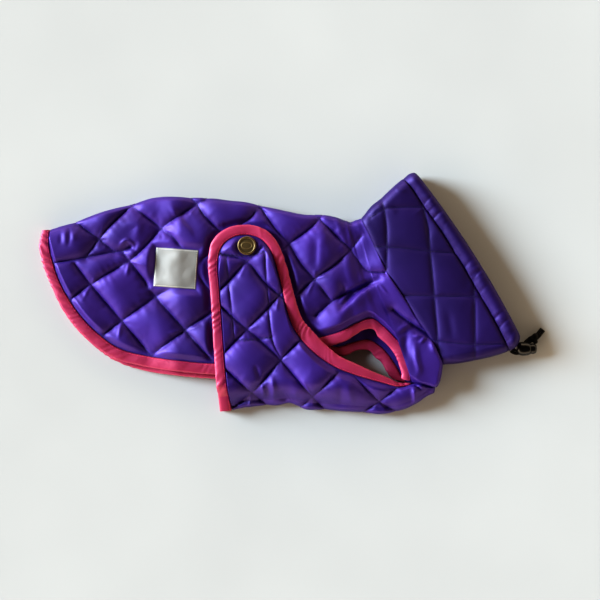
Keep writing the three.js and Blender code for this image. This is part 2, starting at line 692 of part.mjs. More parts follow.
// The stopper knot, a bead that both strands run through.
function cordKnot() {
  const knot = new THREE.SphereGeometry(1, 16, 10);
  knot.scale(KNOT.halfLength, KNOT.halfWidth, KNOT.halfHeight);
  knot.rotateZ(radians(32));
  knot.translate(KNOT.x, KNOT.y, KNOT.halfHeight + 0.1);
  return cutAway(knot, cordChannel());
}

const meshOf = (name, geometry, finish) => {
  const mesh = new THREE.Mesh(geometry, new THREE.MeshStandardMaterial(finish));
  mesh.name = name;
  return mesh;
};

const coat = new THREE.Group();
coat.add(meshOf('back_panel', backPanel(), FINISH.nylon));
coat.add(meshOf('belly_panel', bellyPanel(), FINISH.nylon));
coat.add(meshOf('collar', collar(), FINISH.collarNylon));
coat.add(meshOf('collar_casing', casing(), FINISH.collarNylon));
coat.add(meshOf('hem_binding_right', hemBinding('right'), FINISH.binding));
coat.add(meshOf('hem_binding_left', hemBinding('left'), FINISH.binding));
coat.add(meshOf('belly_binding_right', bellyBinding('right'), FINISH.binding));
coat.add(meshOf('belly_binding_left', bellyBinding('left'), FINISH.binding));
coat.add(meshOf('label', labelPlace(label()), FINISH.woven));

const stud = meshOf('stud_cap', studCap(), FINISH.brass);
stud.position.set(STUD.x, STUD.y, FLAP_RISE + WALL + SEAM_GAP);
coat.add(stud);

const strandOffset = (CORD_DIAMETER + CORD_GAP) / 2;
const cordPieces = new THREE.Group();
cordPieces.add(meshOf('drawcord_a', cordStrand(strandOffset), FINISH.cord));
cordPieces.add(meshOf('drawcord_b', cordStrand(-strandOffset), FINISH.cord));
cordPieces.add(meshOf('cord_lock_barrel', lockBarrel(), FINISH.black));
cordPieces.add(meshOf('cord_lock_button', lockButton(), FINISH.black));
cordPieces.add(meshOf('cord_knot', cordKnot(), FINISH.cord));

// The origin is at the middle of the coat's own box, on the ground.
const coatBox = new THREE.Box3().setFromObject(coat);
const middle = coatBox.getCenter(new THREE.Vector3());
coat.add(cordPieces);
coat.position.set(-middle.x, -middle.y, -coatBox.min.z);

export default coat;
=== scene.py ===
"""A quilted winter coat for a dog, lying folded flat on its left side.

The coat has a quilted back panel, a belly panel whose flap wraps over the side and closes with
a stud, a funnel collar with a drawstring casing, and pink bias binding round its open edges.
Tables and sizes are in millimetres in the coat's own plan. Meshes are made in metres.
"""

import logging
import math
from collections.abc import Callable
from dataclasses import dataclass, replace
from enum import Enum

import bpy
import numpy as np
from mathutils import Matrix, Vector
from mathutils.bvhtree import BVHTree


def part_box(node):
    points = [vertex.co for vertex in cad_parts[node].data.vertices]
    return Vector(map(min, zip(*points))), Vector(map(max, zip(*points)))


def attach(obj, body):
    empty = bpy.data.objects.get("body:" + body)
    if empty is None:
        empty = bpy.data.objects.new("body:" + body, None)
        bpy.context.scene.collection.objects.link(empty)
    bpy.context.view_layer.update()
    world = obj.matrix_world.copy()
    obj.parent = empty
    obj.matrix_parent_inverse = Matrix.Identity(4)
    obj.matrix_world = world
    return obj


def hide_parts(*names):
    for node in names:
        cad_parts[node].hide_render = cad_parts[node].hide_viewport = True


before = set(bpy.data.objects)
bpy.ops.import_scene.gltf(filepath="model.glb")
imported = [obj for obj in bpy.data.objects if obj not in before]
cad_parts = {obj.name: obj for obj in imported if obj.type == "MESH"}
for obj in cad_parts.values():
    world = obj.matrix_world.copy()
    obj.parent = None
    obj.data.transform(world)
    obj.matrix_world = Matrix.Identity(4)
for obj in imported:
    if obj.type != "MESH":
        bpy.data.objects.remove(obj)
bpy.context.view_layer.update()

LOG = logging.getLogger("coat")
Array = np.ndarray
Columns = dict[str, Array]
Points = tuple[tuple[float, float], ...]
Colour = tuple[float, float, float]
Material = bpy.types.Material
NodeTree = bpy.types.NodeTree
ShaderNode = bpy.types.ShaderNode
Socket = bpy.types.NodeSocket
Object = bpy.types.Object

# One millimetre in metres, and the least number that anything is divided by.
MM = 0.001
TINY = 1e-9

# Driving sizes, in millimetres.
WALL = 5.5
SEAM_GAP = 0.3
LAYER_GAP = 2.2
BAND_THICK = 6.9
BAND_PROUD_BELOW = 0.5
FLAP_LIFT = BAND_THICK + SEAM_GAP
FLAP_SLOPE = 24.0
FLAP_RISE = 22.0
COLLAR_NOSE = 11.0
STUD_PLACE = (-37.4, 52.2)
STUD_RADIUS = 10.3
DRAWN_UP = 1.5
STITCH_FLOOR = 0.9
GRID_PITCH = 1.35


class Side(Enum):
    """The coat's right side lies on top, its left side underneath."""

    RIGHT = "right"
    LEFT = "left"


class Slot(Enum):
    """The finishes that the record names."""

    NYLON = "quilted_nylon"
    BINDING = "satin_binding"
    LABEL = "woven_label"
    BRASS = "antique_brass"
    CORD = "black_cord"
    PLASTIC = "black_plastic"


def table(columns: str, rows: list[tuple[float, ...]]) -> Columns:
    """Turns rows of numbers into named columns.

    Args:
        columns: The column names, with spaces between them.
        rows: One tuple for each row.

    Returns:
        An array for each column name.
    """
    return dict(zip(columns.split(), np.array(rows, dtype=float).T))


# Rows of the back panel, from the tail to the neck seam. A row runs from the back fold to the
# wall's edge (in), with the free edge of its binding (out). Slip shifts the left layer's edge.
BACK_ROWS = table("foldX foldY inX inY outX outY slipX slipY lift gap", [
    (-255, 70.5, -256.5, 54, -267.8, 54, 0, 0, 0, 2.2),
    (-245, 74, -253, 38, -264.5, 35, 0, 0, 0, 2.2),
    (-230, 78.5, -245, 14, -256, 12, 0, 0, 0, 2.2),
    (-210, 86, -230, -13, -240, -21, 0, 0, 0, 2.2),
    (-188, 93, -208, -39, -217, -49, 0, -1, 0, 2.2),
    (-164, 99.5, -180, -60, -186, -71, 0, -3, 0, 2.2),
    (-139, 106, -148, -69, -151, -81, 0, -5, 0, 2.2),
    (-108, 106.5, -111, -74, -112, -86.5, 0, -5, 6, 2.2),
    (-80, 105.5, -76, -77, -75, -89.5, 0, -5, FLAP_LIFT, 2.2),
    (-57, 102.5, -42, -76, -39, -89, 0, -5, FLAP_LIFT, 2.2),
    (-31, 99.5, -16, -69, -8, -80, 0, -5, FLAP_LIFT, 2.2),
    (1, 91.5, 12, -58, 21, -68, 0, -5, FLAP_LIFT, 2.2),
    (25, 87, 40, -49, 48, -60, 0, -6, FLAP_LIFT, 2.2),
    (43, 87.5, 64, -42, 71, -52.5, -3, -17, FLAP_LIFT, 2.4),
    (59, 84.5, 84, -32, 90, -41, -5, -22, 4, 3),
    (70, 80.5, 100, -27, 102, -40, -4, -24, 1, 3.8),
    (72.5, 80, 113, -35.5, 107, -48, -4, -22, 0, 4.4),
    (74.5, 79, 124, -46.5, 116.5, -56.5, -6, -20, 0, 5),
    (76.5, 78.5, 135, -60, 125, -67.5, -10, -16, 0, 5.6),
    (78.5, 79, 141.5, -74.5, 130, -79.5, -11, -11, 0, 6),
    (80.5, 80, 143.5, -86, 132.5, -88.5, -9, -6.5, 0, 6.4),
    (82.5, 81, 143.5, -96.8, 134, -95.2, -4, -1.5, 0, 6.8),
    (84.5, 81.5, 153, -99.6, 153, -99.6, 0, 0, 0, 7.2),
    (86, 82, 163, -101.8, 163, -101.8, 0, 0, 0, 7.5),
    (87, 82.4, 171.5, -103.2, 171.5, -103.2, 0, 0, 0, 7.8),
    (87.6, 82.6, 176.5, -92, 176.5, -92, 0, 0, 0, 8),
    (88, 82.8, 178, -79, 178, -79, 0, 0, 0, 8),
])
BACK_BAND_END = 21
TAIL_BAND_START = (-255.6, 70, -264.5, 69.8)

# Rows of the belly panel, from its rear edge to the throat. Rise is the height of the right
# layer's underside away from the fold.
BELLY_ROWS = table("foldX foldY inX inY outX outY slipX slipY rise", [
    (-54, -130, -57.3, -113, -69.3, -114, 2, 0, FLAP_RISE),
    (-52.3, -129.4, -60, -93, -71.8, -94, 2, 0, FLAP_RISE),
    (-50.2, -128.8, -62.3, -66, -73.6, -66, 2, 0, FLAP_RISE),
    (-47.4, -128.2, -64.5, -34, -75.5, -34, 2, 0, FLAP_RISE),
    (-44.7, -127.6, -67.2, 4, -77.9, 4, 2, 0, FLAP_RISE),
    (-41.9, -127, -69, 33, -80.3, 34, 2, -1, FLAP_RISE),
    (-38.6, -126.4, -64.6, 51, -75.5, 57.5, 1, -2, FLAP_RISE),
    (-34.2, -126.2, -52.5, 61, -59.5, 71.5, 0, -3, FLAP_RISE),
    (-28.7, -126, -38.5, 63.5, -38.5, 75.3, 0, -3, FLAP_RISE),
    (-23.2, -125.8, -25, 60.5, -18.5, 70.5, 0, -3, FLAP_RISE),
    (-17.7, -125.4, -16, 53, -6.5, 59.5, -1, -3, FLAP_RISE),
    (-12.2, -125, -10, 42, 1, 45.5, -2, -3, FLAP_RISE),
    (-5.6, -124.8, -4, 23, 7.3, 26, -2, -3, FLAP_RISE),
    (2.1, -124.4, 1, 3, 12.6, 6, -2, -3, FLAP_RISE),
    (9.8, -124, 5.5, -17, 17.8, -13, -2, -3, FLAP_RISE),
    (17.5, -125.4, 12, -36, 24, -29, -2, -3, FLAP_RISE),
    (26.3, -127.6, 23.5, -53, 34.5, -41, -2, -3, FLAP_RISE),
    (37.3, -128.7, 40, -69, 47.5, -55, -2, -3, FLAP_RISE),
    (53.8, -129.6, 59.5, -81.5, 65, -69, -1, -3, FLAP_RISE),
    (72.5, -130.8, 78, -89, 82, -77, 0, -3, 20.5),
    (92.3, -132.4, 97, -95, 100, -85.5, 0, -3.5, 18),
    (111, -133.8, 114.5, -99.8, 117, -92.5, 0, -4, 15.5),
    (128.6, -131, 129.5, -103.4, 130.5, -98.4, 0, -3.5, 13.5),
    (140.7, -126.5, 142, -101.8, 142.5, -98.6, 0, -1, 12.8),
    (151.7, -120.6, 153, -100.6, 153, -100.6, 0, 0, 12.8),
    (161, -114, 162.5, -102.6, 162.5, -102.6, 0, 0, 13),
    (167, -110, 168.5, -103.8, 168.5, -103.8, 0, 0, 13.2),
])
BELLY_BAND_END = 23
BELLY_BAND_START = (-54.6, -129.6, -67.6, -130.6)

# Rings of the collar from the neck seam to the casing, and of the casing to the mouth.
RING_COLUMNS = "topX topY lowX lowY bow gap"
COLLAR_RINGS = table(RING_COLUMNS, [
    (88.6, 83.2, 178.9, -79.3, 0, 8),
    (99, 96.5, 191.3, -78.6, 1, 12),
    (110, 105.5, 205.6, -76.4, 2, 15.5),
    (121, 115.8, 221, -73.2, 3, 18.5),
    (129.7, 123.4, 238, -69, 4.2, 20.5),
    (134.7, 127, 252.3, -64.2, 5, 22),
])
CASING_RINGS = table(RING_COLUMNS, [
    (135.1, 127.3, 252.8, -64, 5, 22),
    (140.7, 131.8, 259.2, -59.8, 5.6, 23),
    (146.8, 134.4, 264.8, -50.6, 5.8, 22),
])

# Way of the doubled drawstring, from the casing's corner to the ground.
CORD_ROUTE = (
    (254.7, -62.4, 8.0),
    (258.6, -64.6, 7.9),
    (261.8, -65.0, 7.8),
    (265.0, -63.9, 7.7),
    (268.0, -61.3, 7.7),
    (270.2, -57.6, 7.5),
    (272.4, -54.1, 6.8),
    (275.9, -51.7, 5.6),
    (280.0, -50.2, 4.6),
    (283.2, -48.2, 3.6),
    (285.8, -45.8, 2.7),
    (288.2, -43.0, 2.0),
    (290.4, -40.2, 1.6),
)
CORD_DIAMETER = 3.0
CORD_GAP = 0.3

# Columns that step softly from row to row and never swing past a row's own number.
STEPPED = ("lift",)


def mix(a: Array | float, b: Array | float, t: Array | float) -> Array | float:
    """Returns the value between a and b at the share t."""
    return a + (b - a) * t


def smooth(low: float | Array, high: float | Array, value: Array) -> Array:
    """Returns 0 below low, 1 above high, and a soft step between them."""
    t = np.clip((value - low) / (high - low), 0.0, 1.0)
    return t * t * (3.0 - 2.0 * t)


def bell(value: Array, width: Array | float) -> Array:
    """Returns 1 where the value is 0, and a soft fall to 0 over the width on either side."""
    return np.exp(-((value / width) ** 2))


def row_at(rows: Columns, u: Array) -> Columns:
    """Reads a table between its rows.

    Args:
        rows: The table's columns.
        u: Running row numbers.

    Returns:
        The columns at those numbers. A stepped column stays between the two rows.
    """
    count = len(next(iter(rows.values())))
    i = np.clip(np.floor(u).astype(int), 0, count - 2)
    t = u - i
    out = {}
    for name, values in rows.items():
        p0, p1 = values[np.maximum(i - 1, 0)], values[i]
        p2, p3 = values[i + 1], values[np.minimum(i + 2, count - 1)]
        square = 2 * p0 - 5 * p1 + 4 * p2 - p3
        cube = 3 * p1 - p0 - 3 * p2 + p3
        out[name] = p1 + 0.5 * ((p2 - p0) * t + square * t * t + cube * t**3)
        if name in STEPPED:
            out[name] = mix(p1, p2, smooth(0.0, 1.0, t))
    return out


def even_stations(rows: Columns, ends: tuple[str, str], pitch: float, last: float | None = None) -> Array:
    """Chooses running row numbers that lie evenly apart.

    Args:
        rows: The table.
        ends: The names, without X and Y, of the two ends of a row.
        pitch: How far apart the rows should be, in millimetres.
        last: The last row number, or None for the table's last row.

    Returns:
        The running row numbers.
    """
    count = len(next(iter(rows.values())))
    last = count - 1 if last is None else last
    fine = np.linspace(0.0, last, 40 * count)
    row = row_at(rows, fine)
    run = sum(
        np.hypot(np.diff(row[f"{end}X"]), np.diff(row[f"{end}Y"])) for end in ends
    ) / len(ends)
    way = np.concatenate([[0.0], np.cumsum(run)])
    steps = max(4, round(way[-1] / pitch))
    return np.interp(np.linspace(0.0, way[-1], steps + 1), way, fine)


def curve(points: Points, steps: int = 5) -> Array:
    """Returns a smooth line through the points, with so many steps between two of them."""
    values = np.array(points, dtype=float)
    columns = {str(i): values[:, i] for i in range(values.shape[1])}
    u = np.linspace(0, len(values) - 1, (len(values) - 1) * steps + 1)
    row = row_at(columns, u)
    return np.stack([row[str(i)] for i in range(values.shape[1])], axis=1)


def measure(line: Array, x: Array, y: Array) -> tuple[Array, Array]:
    """Measures points against a line.

    Args:
        line: The line's points.
        x: The points' x.
        y: The points' y.

    Returns:
        The distance of each point, positive on the line's left, and how far along it lies.
    """
    best = np.full(x.shape, np.inf)
    side = np.ones(x.shape)
    along = np.zeros(x.shape)
    begin = 0.0
    for (ax, ay), (bx, by) in zip(line[:-1], line[1:]):
        dx, dy = bx - ax, by - ay
        size = math.hypot(dx, dy)
        t = np.clip(((x - ax) * dx + (y - ay) * dy) / (size * size), 0.0, 1.0)
        ex, ey = x - ax - t * dx, y - ay - t * dy
        d = np.hypot(ex, ey)
        near = d < best
        best = np.where(near, d, best)
        side = np.where(near, np.where(dx * ey - dy * ex < 0, -1.0, 1.0), side)
        along = np.where(near, begin + t * size, along)
        begin += size
    return best * side, along


def way_along(line: Array) -> Array:
    """Returns how far along a line of points each of them lies."""
    return np.concatenate([[0.0], np.cumsum(np.linalg.norm(np.diff(line, axis=0), axis=1))])


def even_points(line: Array, steps: int) -> tuple[Array, Array]:
    """Returns the x and y of points that lie evenly along a line."""
    way = way_along(line)
    even = np.linspace(0.0, way[-1], steps + 1)
    return np.interp(even, way, line[:, 0]), np.interp(even, way, line[:, 1])


def sideways_of(line: Array) -> Array:
    """Returns the directions that point to the left of a line at each of its points."""
    tangent = np.gradient(line, axis=0)
    across = np.stack([-tangent[:, 1], tangent[:, 0]], axis=1)
    return across / np.linalg.norm(across, axis=1, keepdims=True)


def waves(x: Array, y: Array, size: float, seed: int, count: int = 9) -> Array:
    """Smooth unevenness, about -1 to 1.

    Args:
        x: The points' x.
        y: The points' y.
        size: The usual width of one wave, in millimetres.
        seed: The start of the random draws.
        count: How many waves are added up.

    Returns:
        A value for each point.
    """
    draws = np.random.default_rng(seed)
    total = np.zeros(np.broadcast(x, y).shape)
    for _ in range(count):
        angle = draws.uniform(0.0, 2.0 * math.pi)
        number = 2.0 * math.pi / (size * draws.uniform(0.65, 1.6))
        phase = draws.uniform(0.0, 2.0 * math.pi)
        total = total + np.sin(number * (x * math.cos(angle) + y * math.sin(angle)) + phase)
    return total / math.sqrt(count)


def outside_distance(outline: Array, x: Array, y: Array) -> Array:
    """Returns how far points lie outside a closed outline, negative inside it."""
    closed = np.vstack([outline, outline[:1]])
    inside = np.zeros(x.shape, dtype=bool)
    for (ax, ay), (bx, by) in zip(closed[:-1], closed[1:]):
        if ay == by:
            continue
        crosses = (ay > y) != (by > y)
        inside ^= crosses & (x < ax + (y - ay) * (bx - ax) / (by - ay))
    distance = np.abs(measure(closed, x, y)[0])
    return np.where(inside, -distance, distance)


@dataclass(frozen=True)
class Shift:
    """A place where the cloth is drawn sideways by a few millimetres."""

    x: float
    y: float
    reach: float
    move_x: float
    move_y: float

    def weight(self, x: Array, y: Array) -> Array:
        """Returns the share of the move at each point."""
        return bell(np.hypot(x - self.x, y - self.y), self.reach)


# The neck seam bends back below the gathers and forward above the throat, and the belly fold
# is drawn up beside its crumples.
SHIFTS = (
    Shift(118, 24, 34, -3.4, -1.8),
    Shift(166, -52, 24, 2.4, 1.3),
    Shift(9, -126, 9, 0, 2.6),
    Shift(-22, -128, 12, 0, 1.0),
    Shift(28, -129, 12, 0, -1.2),
)


@dataclass(frozen=True)
class Swell:
    """A broad rise of the cloth over what lies under it."""

    x: float
    y: float
    height: float
    reach_x: float
    reach_y: float

    def lift(self, x: Array, y: Array) -> Array:
        """Returns how far the swell raises each point."""
        return self.height * bell(x - self.x, self.reach_x) * bell(y - self.y, self.reach_y)


@dataclass(frozen=True)
class Fold:
    """A soft ridge, or a trough where its height is negative, along a curve.

    Left and right are its widths on either side of its way.
    """

    way: Points
    height: float
    left: float
    right: float
    ends: float = 0.4

    def lift(self, x: Array, y: Array) -> Array:
        """Returns how far the fold raises each point."""
        line = curve(self.way)
        distance, along = measure(line, x, y)
        share = along / way_along(line)[-1]
        fade = smooth(0.0, self.ends, share) * smooth(0.0, self.ends, 1.0 - share)
        width = np.where(distance > 0, self.left, self.right)
        return self.height * fade * bell(distance, width)


def crossings(lines: tuple[Points, ...]) -> list[tuple[float, float]]:
    """Finds where stitch lines cross.

    Args:
        lines: The lines' points.

    Returns:
        One point for each two lines that cross.
    """
    found = []
    ways = [curve(points, 3) for points in lines]
    for i, first in enumerate(ways):
        for second in ways[i + 1:]:
            a, b = first[:-1, None, :], np.diff(first, axis=0)[:, None, :]
            c, d = second[None, :-1, :], np.diff(second, axis=0)[None, :, :]
            turn = b[..., 0] * d[..., 1] - b[..., 1] * d[..., 0]
            turn = np.where(np.abs(turn) < TINY, TINY, turn)
            gap = c - a
            t = (gap[..., 0] * d[..., 1] - gap[..., 1] * d[..., 0]) / turn
            v = (gap[..., 0] * b[..., 1] - gap[..., 1] * b[..., 0]) / turn
            meets = (t >= 0) & (t < 1) & (v >= 0) & (v < 1)
            for j, k in np.argwhere(meets)[:1]:
                place = first[j] + t[j, k] * (first[j + 1] - first[j])
                found.append((float(place[0]), float(place[1])))
    return found


@dataclass(frozen=True)
class Puckers:
    """Short creases that run out from where quilting lines cross.

    Sway is how far a crease turns from its even place, in radians. The shares are the least
    and greatest part of the full reach and height that a crease may have.
    """

    height: float = 1.2
    reach: float = 21.0
    width: float = 1.7
    count: int = 5
    sway: float = 0.5
    reach_shares: tuple[float, float] = (0.55, 1.2)
    height_shares: tuple[float, float] = (-0.7, 1.1)
    seed: int = 5

    def lift(self, places: list[tuple[float, float]], x: Array, y: Array) -> Array:
        """Finds how far the creases raise each point.

        Args:
            places: Where the creases start.
            x: The points' x.
            y: The points' y.

        Returns:
            The heights.
        """
        draws = np.random.default_rng(self.seed)
        total = np.zeros(x.shape)
        for px, py in places:
            turn = draws.uniform(0.0, 2.0 * math.pi)
            for i in range(self.count):
                angle = turn + 2.0 * math.pi * i / self.count + draws.uniform(-self.sway, self.sway)
                size = self.reach * draws.uniform(*self.reach_shares)
                height = self.height * draws.uniform(*self.height_shares)
                along = (x - px) * math.cos(angle) + (y - py) * math.sin(angle)
                across = (y - py) * math.cos(angle) - (x - px) * math.sin(angle)
                fade = smooth(1.0, 0.35 * size, along) * (1.0 - smooth(0.45 * size, size, along))
                width = self.width * (0.6 + 0.9 * np.clip(along / size, 0.0, 1.0))
                total += height * fade * bell(across, width)
        return total


@dataclass(frozen=True)
class Quilting:
    """Stitch lines that hold down the padding of a panel.

    Loft is the height of a full square over its stitch lines. The cloth drops steeply over the
    pinch and curves like a dome over the span. Pucker is how unevenly a line draws it in, in
    bunches of that width and reach.
    """

    lines: tuple[Points, ...]
    loft: float
    floor: float
    pinch: float = 3.0
    span: float = 23.0
    steep: float = 0.56
    pucker: float = 0.12
    bunch_width: float = 8.0
    bunch_reach: float = 7.0
    creases: Puckers = Puckers()
    seed: int = 3

    def lift(self, x: Array, y: Array) -> Array:
        """Returns the height of the padding over the wall at each point."""
        full = np.ones(x.shape)
        for i, points in enumerate(self.lines):
            line = curve(points)
            distance, along = measure(line, x, y)
            bunch = waves(along, np.sign(distance) * 40.0, self.bunch_width, self.seed + i, 5)
            near = np.abs(distance)
            near = near * (1.0 + self.pucker * bunch * np.exp(-near / self.bunch_reach))
            dome = 1.0 - (1.0 - np.clip(near / self.span, 0.0, 1.0)) ** 2
            full *= mix(dome, 1.0 - np.exp(-near / self.pinch), self.steep)
        return self.floor + self.loft * full + self.creases.lift(crossings(self.lines), x, y)

    def drawn_up(self, x: Array, y: Array) -> Array:
        """Returns how far the stitch lines draw the lower layer up from the ground."""
        lift = self.lift(x, y) - self.floor
        return DRAWN_UP * (1.0 - smooth(0.0, 0.34 * self.loft, lift))


# Quilting lines of each panel, and the seams that are stitched through the same padding.
BACK_LINES = (
    ((-232.6, -7.2), (-210.9, 9.8), (-173.0, 32.4), (-155.7, 45.4), (-131.9, 71.0),
     (-111.6, 85.6), (-92.3, 97.7), (-80.0, 107.0)),
    ((-205.0, -53.0), (-176.2, -30.5), (-138.3, -3.9), (-115.6, 11.3), (-90.7, 34.8), (-70.0, 50.0)),
    ((-146.0, -70.6), (-106.0, -41.1), (-74.9, -19.5), (-40.0, 5.0)),
    ((-216.5, 38.8), (-201.9, 59.0), (-186.0, 77.3), (-164.9, 96.9), (-155.0, 106.0)),
    ((-227.8, 32.4), (-210.9, 10.2), (-176.5, -30.1), (-142.0, -72.0)),
    ((-234.0, 84.0), (-201.9, 59.8), (-184.2, 46.1)),
    ((-174.6, 45.4), (-151.2, 14.6), (-138.3, -4.3), (-106.0, -40.6), (-74.9, -75.6)),
    ((-174.0, 103.6), (-164.9, 96.4), (-132.6, 71.8), (-113.4, 55.3), (-89.2, 16.2), (-70.0, -6.0)),
    ((-101.0, 108.5), (-92.3, 97.2), (-84.8, 86.1), (-62.0, 62.0), (-40.8, 38.8)),
    ((-66.0, 64.0), (-39.1, 78.8), (-27.6, 90.0), (-19.0, 101.0)),
    ((-21.0, 30.0), (8.5, 53.9), (27.1, 67.5), (40.1, 79.7), (47.0, 92.0)),
    ((5.0, -14.0), (22.2, 2.2), (36.8, 15.3), (60.4, 32.2), (76.9, 48.0), (89.0, 63.0)),
    ((38.4, -25.0), (57.1, -8.5), (78.0, 2.5)),
    ((-30.0, 104.4), (-21.3, 92.7), (-6.8, 71.6), (8.5, 53.9), (21.9, 32.2), (36.8, 15.5), (54.0, -7.0)),
    ((30.0, 97.0), (40.8, 83.7), (62.1, 61.9), (76.9, 47.9), (95.6, 26.8), (117.6, 24.5)),
    ((124.0, -18.0), (146.0, -36.0), (164.0, -48.0)),
)
DART_LINE = ((-250.9, 33.3), (-220.1, 38.8), (-192.0, 44.3), (-175.0, 47.1), (-166.2, 50.9))
FLAP_LINES = (
    ((-73.0, -2.2), (-56.2, 14.3), (-37.5, 34.4), (-21.0, 49.8)),
    ((-66.0, -69.0), (-37.5, -39.9), (-16.6, -18.8), (-2.0, -2.1), (6.0, 6.6)),
    ((-61.0, -132.0), (-32.7, -110.1), (-0.3, -73.7), (20.7, -51.2), (27.4, -43.7)),
    ((12.0, -133.7), (34.3, -114.1), (64.3, -85.1), (71.4, -77.8)),
    ((84.0, -137.0), (107.7, -119.6), (123.5, -107.4), (133.0, -99.8)),
    ((-69.0, 44.0), (-37.5, 34.4), (-19.8, 13.5), (-2.0, -2.3), (12.0, -14.0)),
    ((-71.6, -9.6), (-50.5, -28.5), (-37.5, -39.9), (-25.4, -49.5), (-0.3, -73.7), (34.3, -114.1),
     (52.0, -133.4)),
    ((-71.6, -73.4), (-32.7, -109.7), (-19.9, -122.2), (-9.0, -131.6)),
    ((66.0, -75.0), (79.7, -90.7), (107.7, -119.1), (132.0, -134.0)),
)
PATCH_SIDES = (
    ((-60.6, 41.0), (-54.4, -15.6), (-51.2, -51.2)),
    ((-17.4, 44.2), (-14.9, 0.5), (-10.0, -47.9), (-1.2, -68.9)),
)
PATCH_ENDS = (
    ((-67.0, 42.5), (-40.8, 41.0), (-17.7, 45.2)),
    ((-51.2, -51.2), (-28.7, -50.9), (-10.0, -47.9)),
)
COLLAR_LINES = (
    ((98.0, 83.0), (104.4, 87.2), (118.3, 93.5), (155.0, 94.3), (172.0, 90.6)),
    ((100.0, 52.7), (134.0, 50.5), (163.8, 46.2), (203.0, 43.6)),
    ((126.0, -1.2), (169.1, -3.0), (211.1, -3.9), (240.0, -11.0)),
    ((166.0, -53.6), (212.2, -56.4), (258.0, -54.7)),
    ((105.0, 121.6), (107.7, 113.6), (114.7, 83.0), (118.3, 47.6), (119.3, 27.8)),
    ((149.6, 121.0), (160.5, 75.1), (163.8, 46.2), (168.2, -3.0), (169.9, -58.8)),
    ((206.0, 42.0), (211.3, 14.6), (212.2, -4.8), (213.0, -76.0)),
)

BACK_FOLDS = (
    Swell(-138.0, 48.0, 3.2, 44.0, 40.0),
    Swell(92.0, 20.0, 2.4, 40.0, 50.0),
    Swell(160.0, -72.0, 2.4, 26.0, 28.0),
    Fold(((-238.8, 74.0), (-237.7, 63.0), (-236.6, 50.9)), 0.8, 3, 3),
    Fold(((-243.2, 67.4), (-242.6, 52.0)), -0.6, 2.5, 2.5),
    Fold(((-233.8, 78.4), (-233.3, 60.8), (-235.5, 47.6)), -0.7, 2.5, 2.5),
    Fold(((-228.9, 69.6), (-227.8, 55.3)), 0.8, 3, 3),
    Fold(((-179.4, 67.4), (-168.4, 76.2), (-157.4, 75.1), (-159.6, 63.0), (-167.3, 55.3)), 1.4, 5, 5),
    Fold(((-180.5, 46.5), (-176.1, 54.2), (-169.5, 58.6), (-164.0, 53.1), (-166.2, 45.4)), 1.7, 1.8, 1.8),
    Fold(((-173.9, 48.7), (-168.4, 52.6)), -1.2, 2, 2),
    Fold(((-162.9, 58.6), (-160.7, 52.0), (-164.0, 44.3)), -1.4, 3, 3),
    Fold(((-120.0, 104.8), (-109.0, 83.9), (-96.9, 70.7), (-90.8, 55.3)), -1.6, 7, 3),
    Fold(((-122.2, 100.4), (-114.5, 87.2), (-103.5, 72.9)), 0.9, 4, 4),
    Fold(((38.4, 67.4), (37.9, 42.1), (36.8, 17.9)), -1.6, 4, 6),
    Fold(((45.0, 74.0), (46.1, 47.6)), 1.0, 6, 6),
    Fold(((85.7, 85.0), (100.0, 55.3), (116.5, 28.9)), -1.2, 4, 3),
    Fold(((98.9, 99.3), (114.3, 69.6), (117.6, 30.0)), -1.8, 3, 3),
    Fold(((89.0, 91.6), (108.8, 52.0)), 1.0, 5, 5),
    Fold(((69.2, 78.4), (75.8, 64.1), (76.9, 50.9)), 0.9, 3, 3),
    Fold(((119.8, 20.1), (97.8, 10.2), (80.2, -0.8), (60.4, -23.9)), -7.5, 2.6, 4.2),
    Fold(((115.4, 10.2), (93.4, 0.3), (74.7, -15.1), (53.8, -39.3)), 2.4, 7, 9),
    Fold(((20.8, -7.4), (35.1, -31.6), (53.8, -49.2)), -2.6, 11, 9),
    Fold(((60.4, 14.6), (69.2, 5.8), (63.7, -9.6), (70.3, -16.2)), -1.8, 3, 3),
    Fold(((75.8, 10.2), (78.0, -3.0)), 0.9, 4, 4),
    Fold(((109.9, 12.4), (119.8, -0.8)), 0.7, 1.6, 1.6),
    Fold(((145.1, -49.2), (147.3, -71.2), (150.6, -85.5), (144.0, -95.4)), 2.0, 3.0, 2.0),
    Fold(((142.9, -47.7), (158.3, -47.7)), 2.2, 1.5, 1.5),
    Fold(((149.5, -56.9), (158.3, -47.0)), 1.5, 1.8, 1.8),
    Fold(((139.6, -36.0), (136.3, -56.9), (141.8, -75.6)), -2.6, 4, 4),
    Fold(((163.8, -50.3), (163.8, -58.0), (169.3, -65.7)), 2.0, 3, 3),
    Fold(((126.4, -43.7), (145.1, -30.5)), 1.2, 3, 3),
    Fold(((126.4, -49.2), (141.8, -37.1)), -1.2, 3, 3),
)
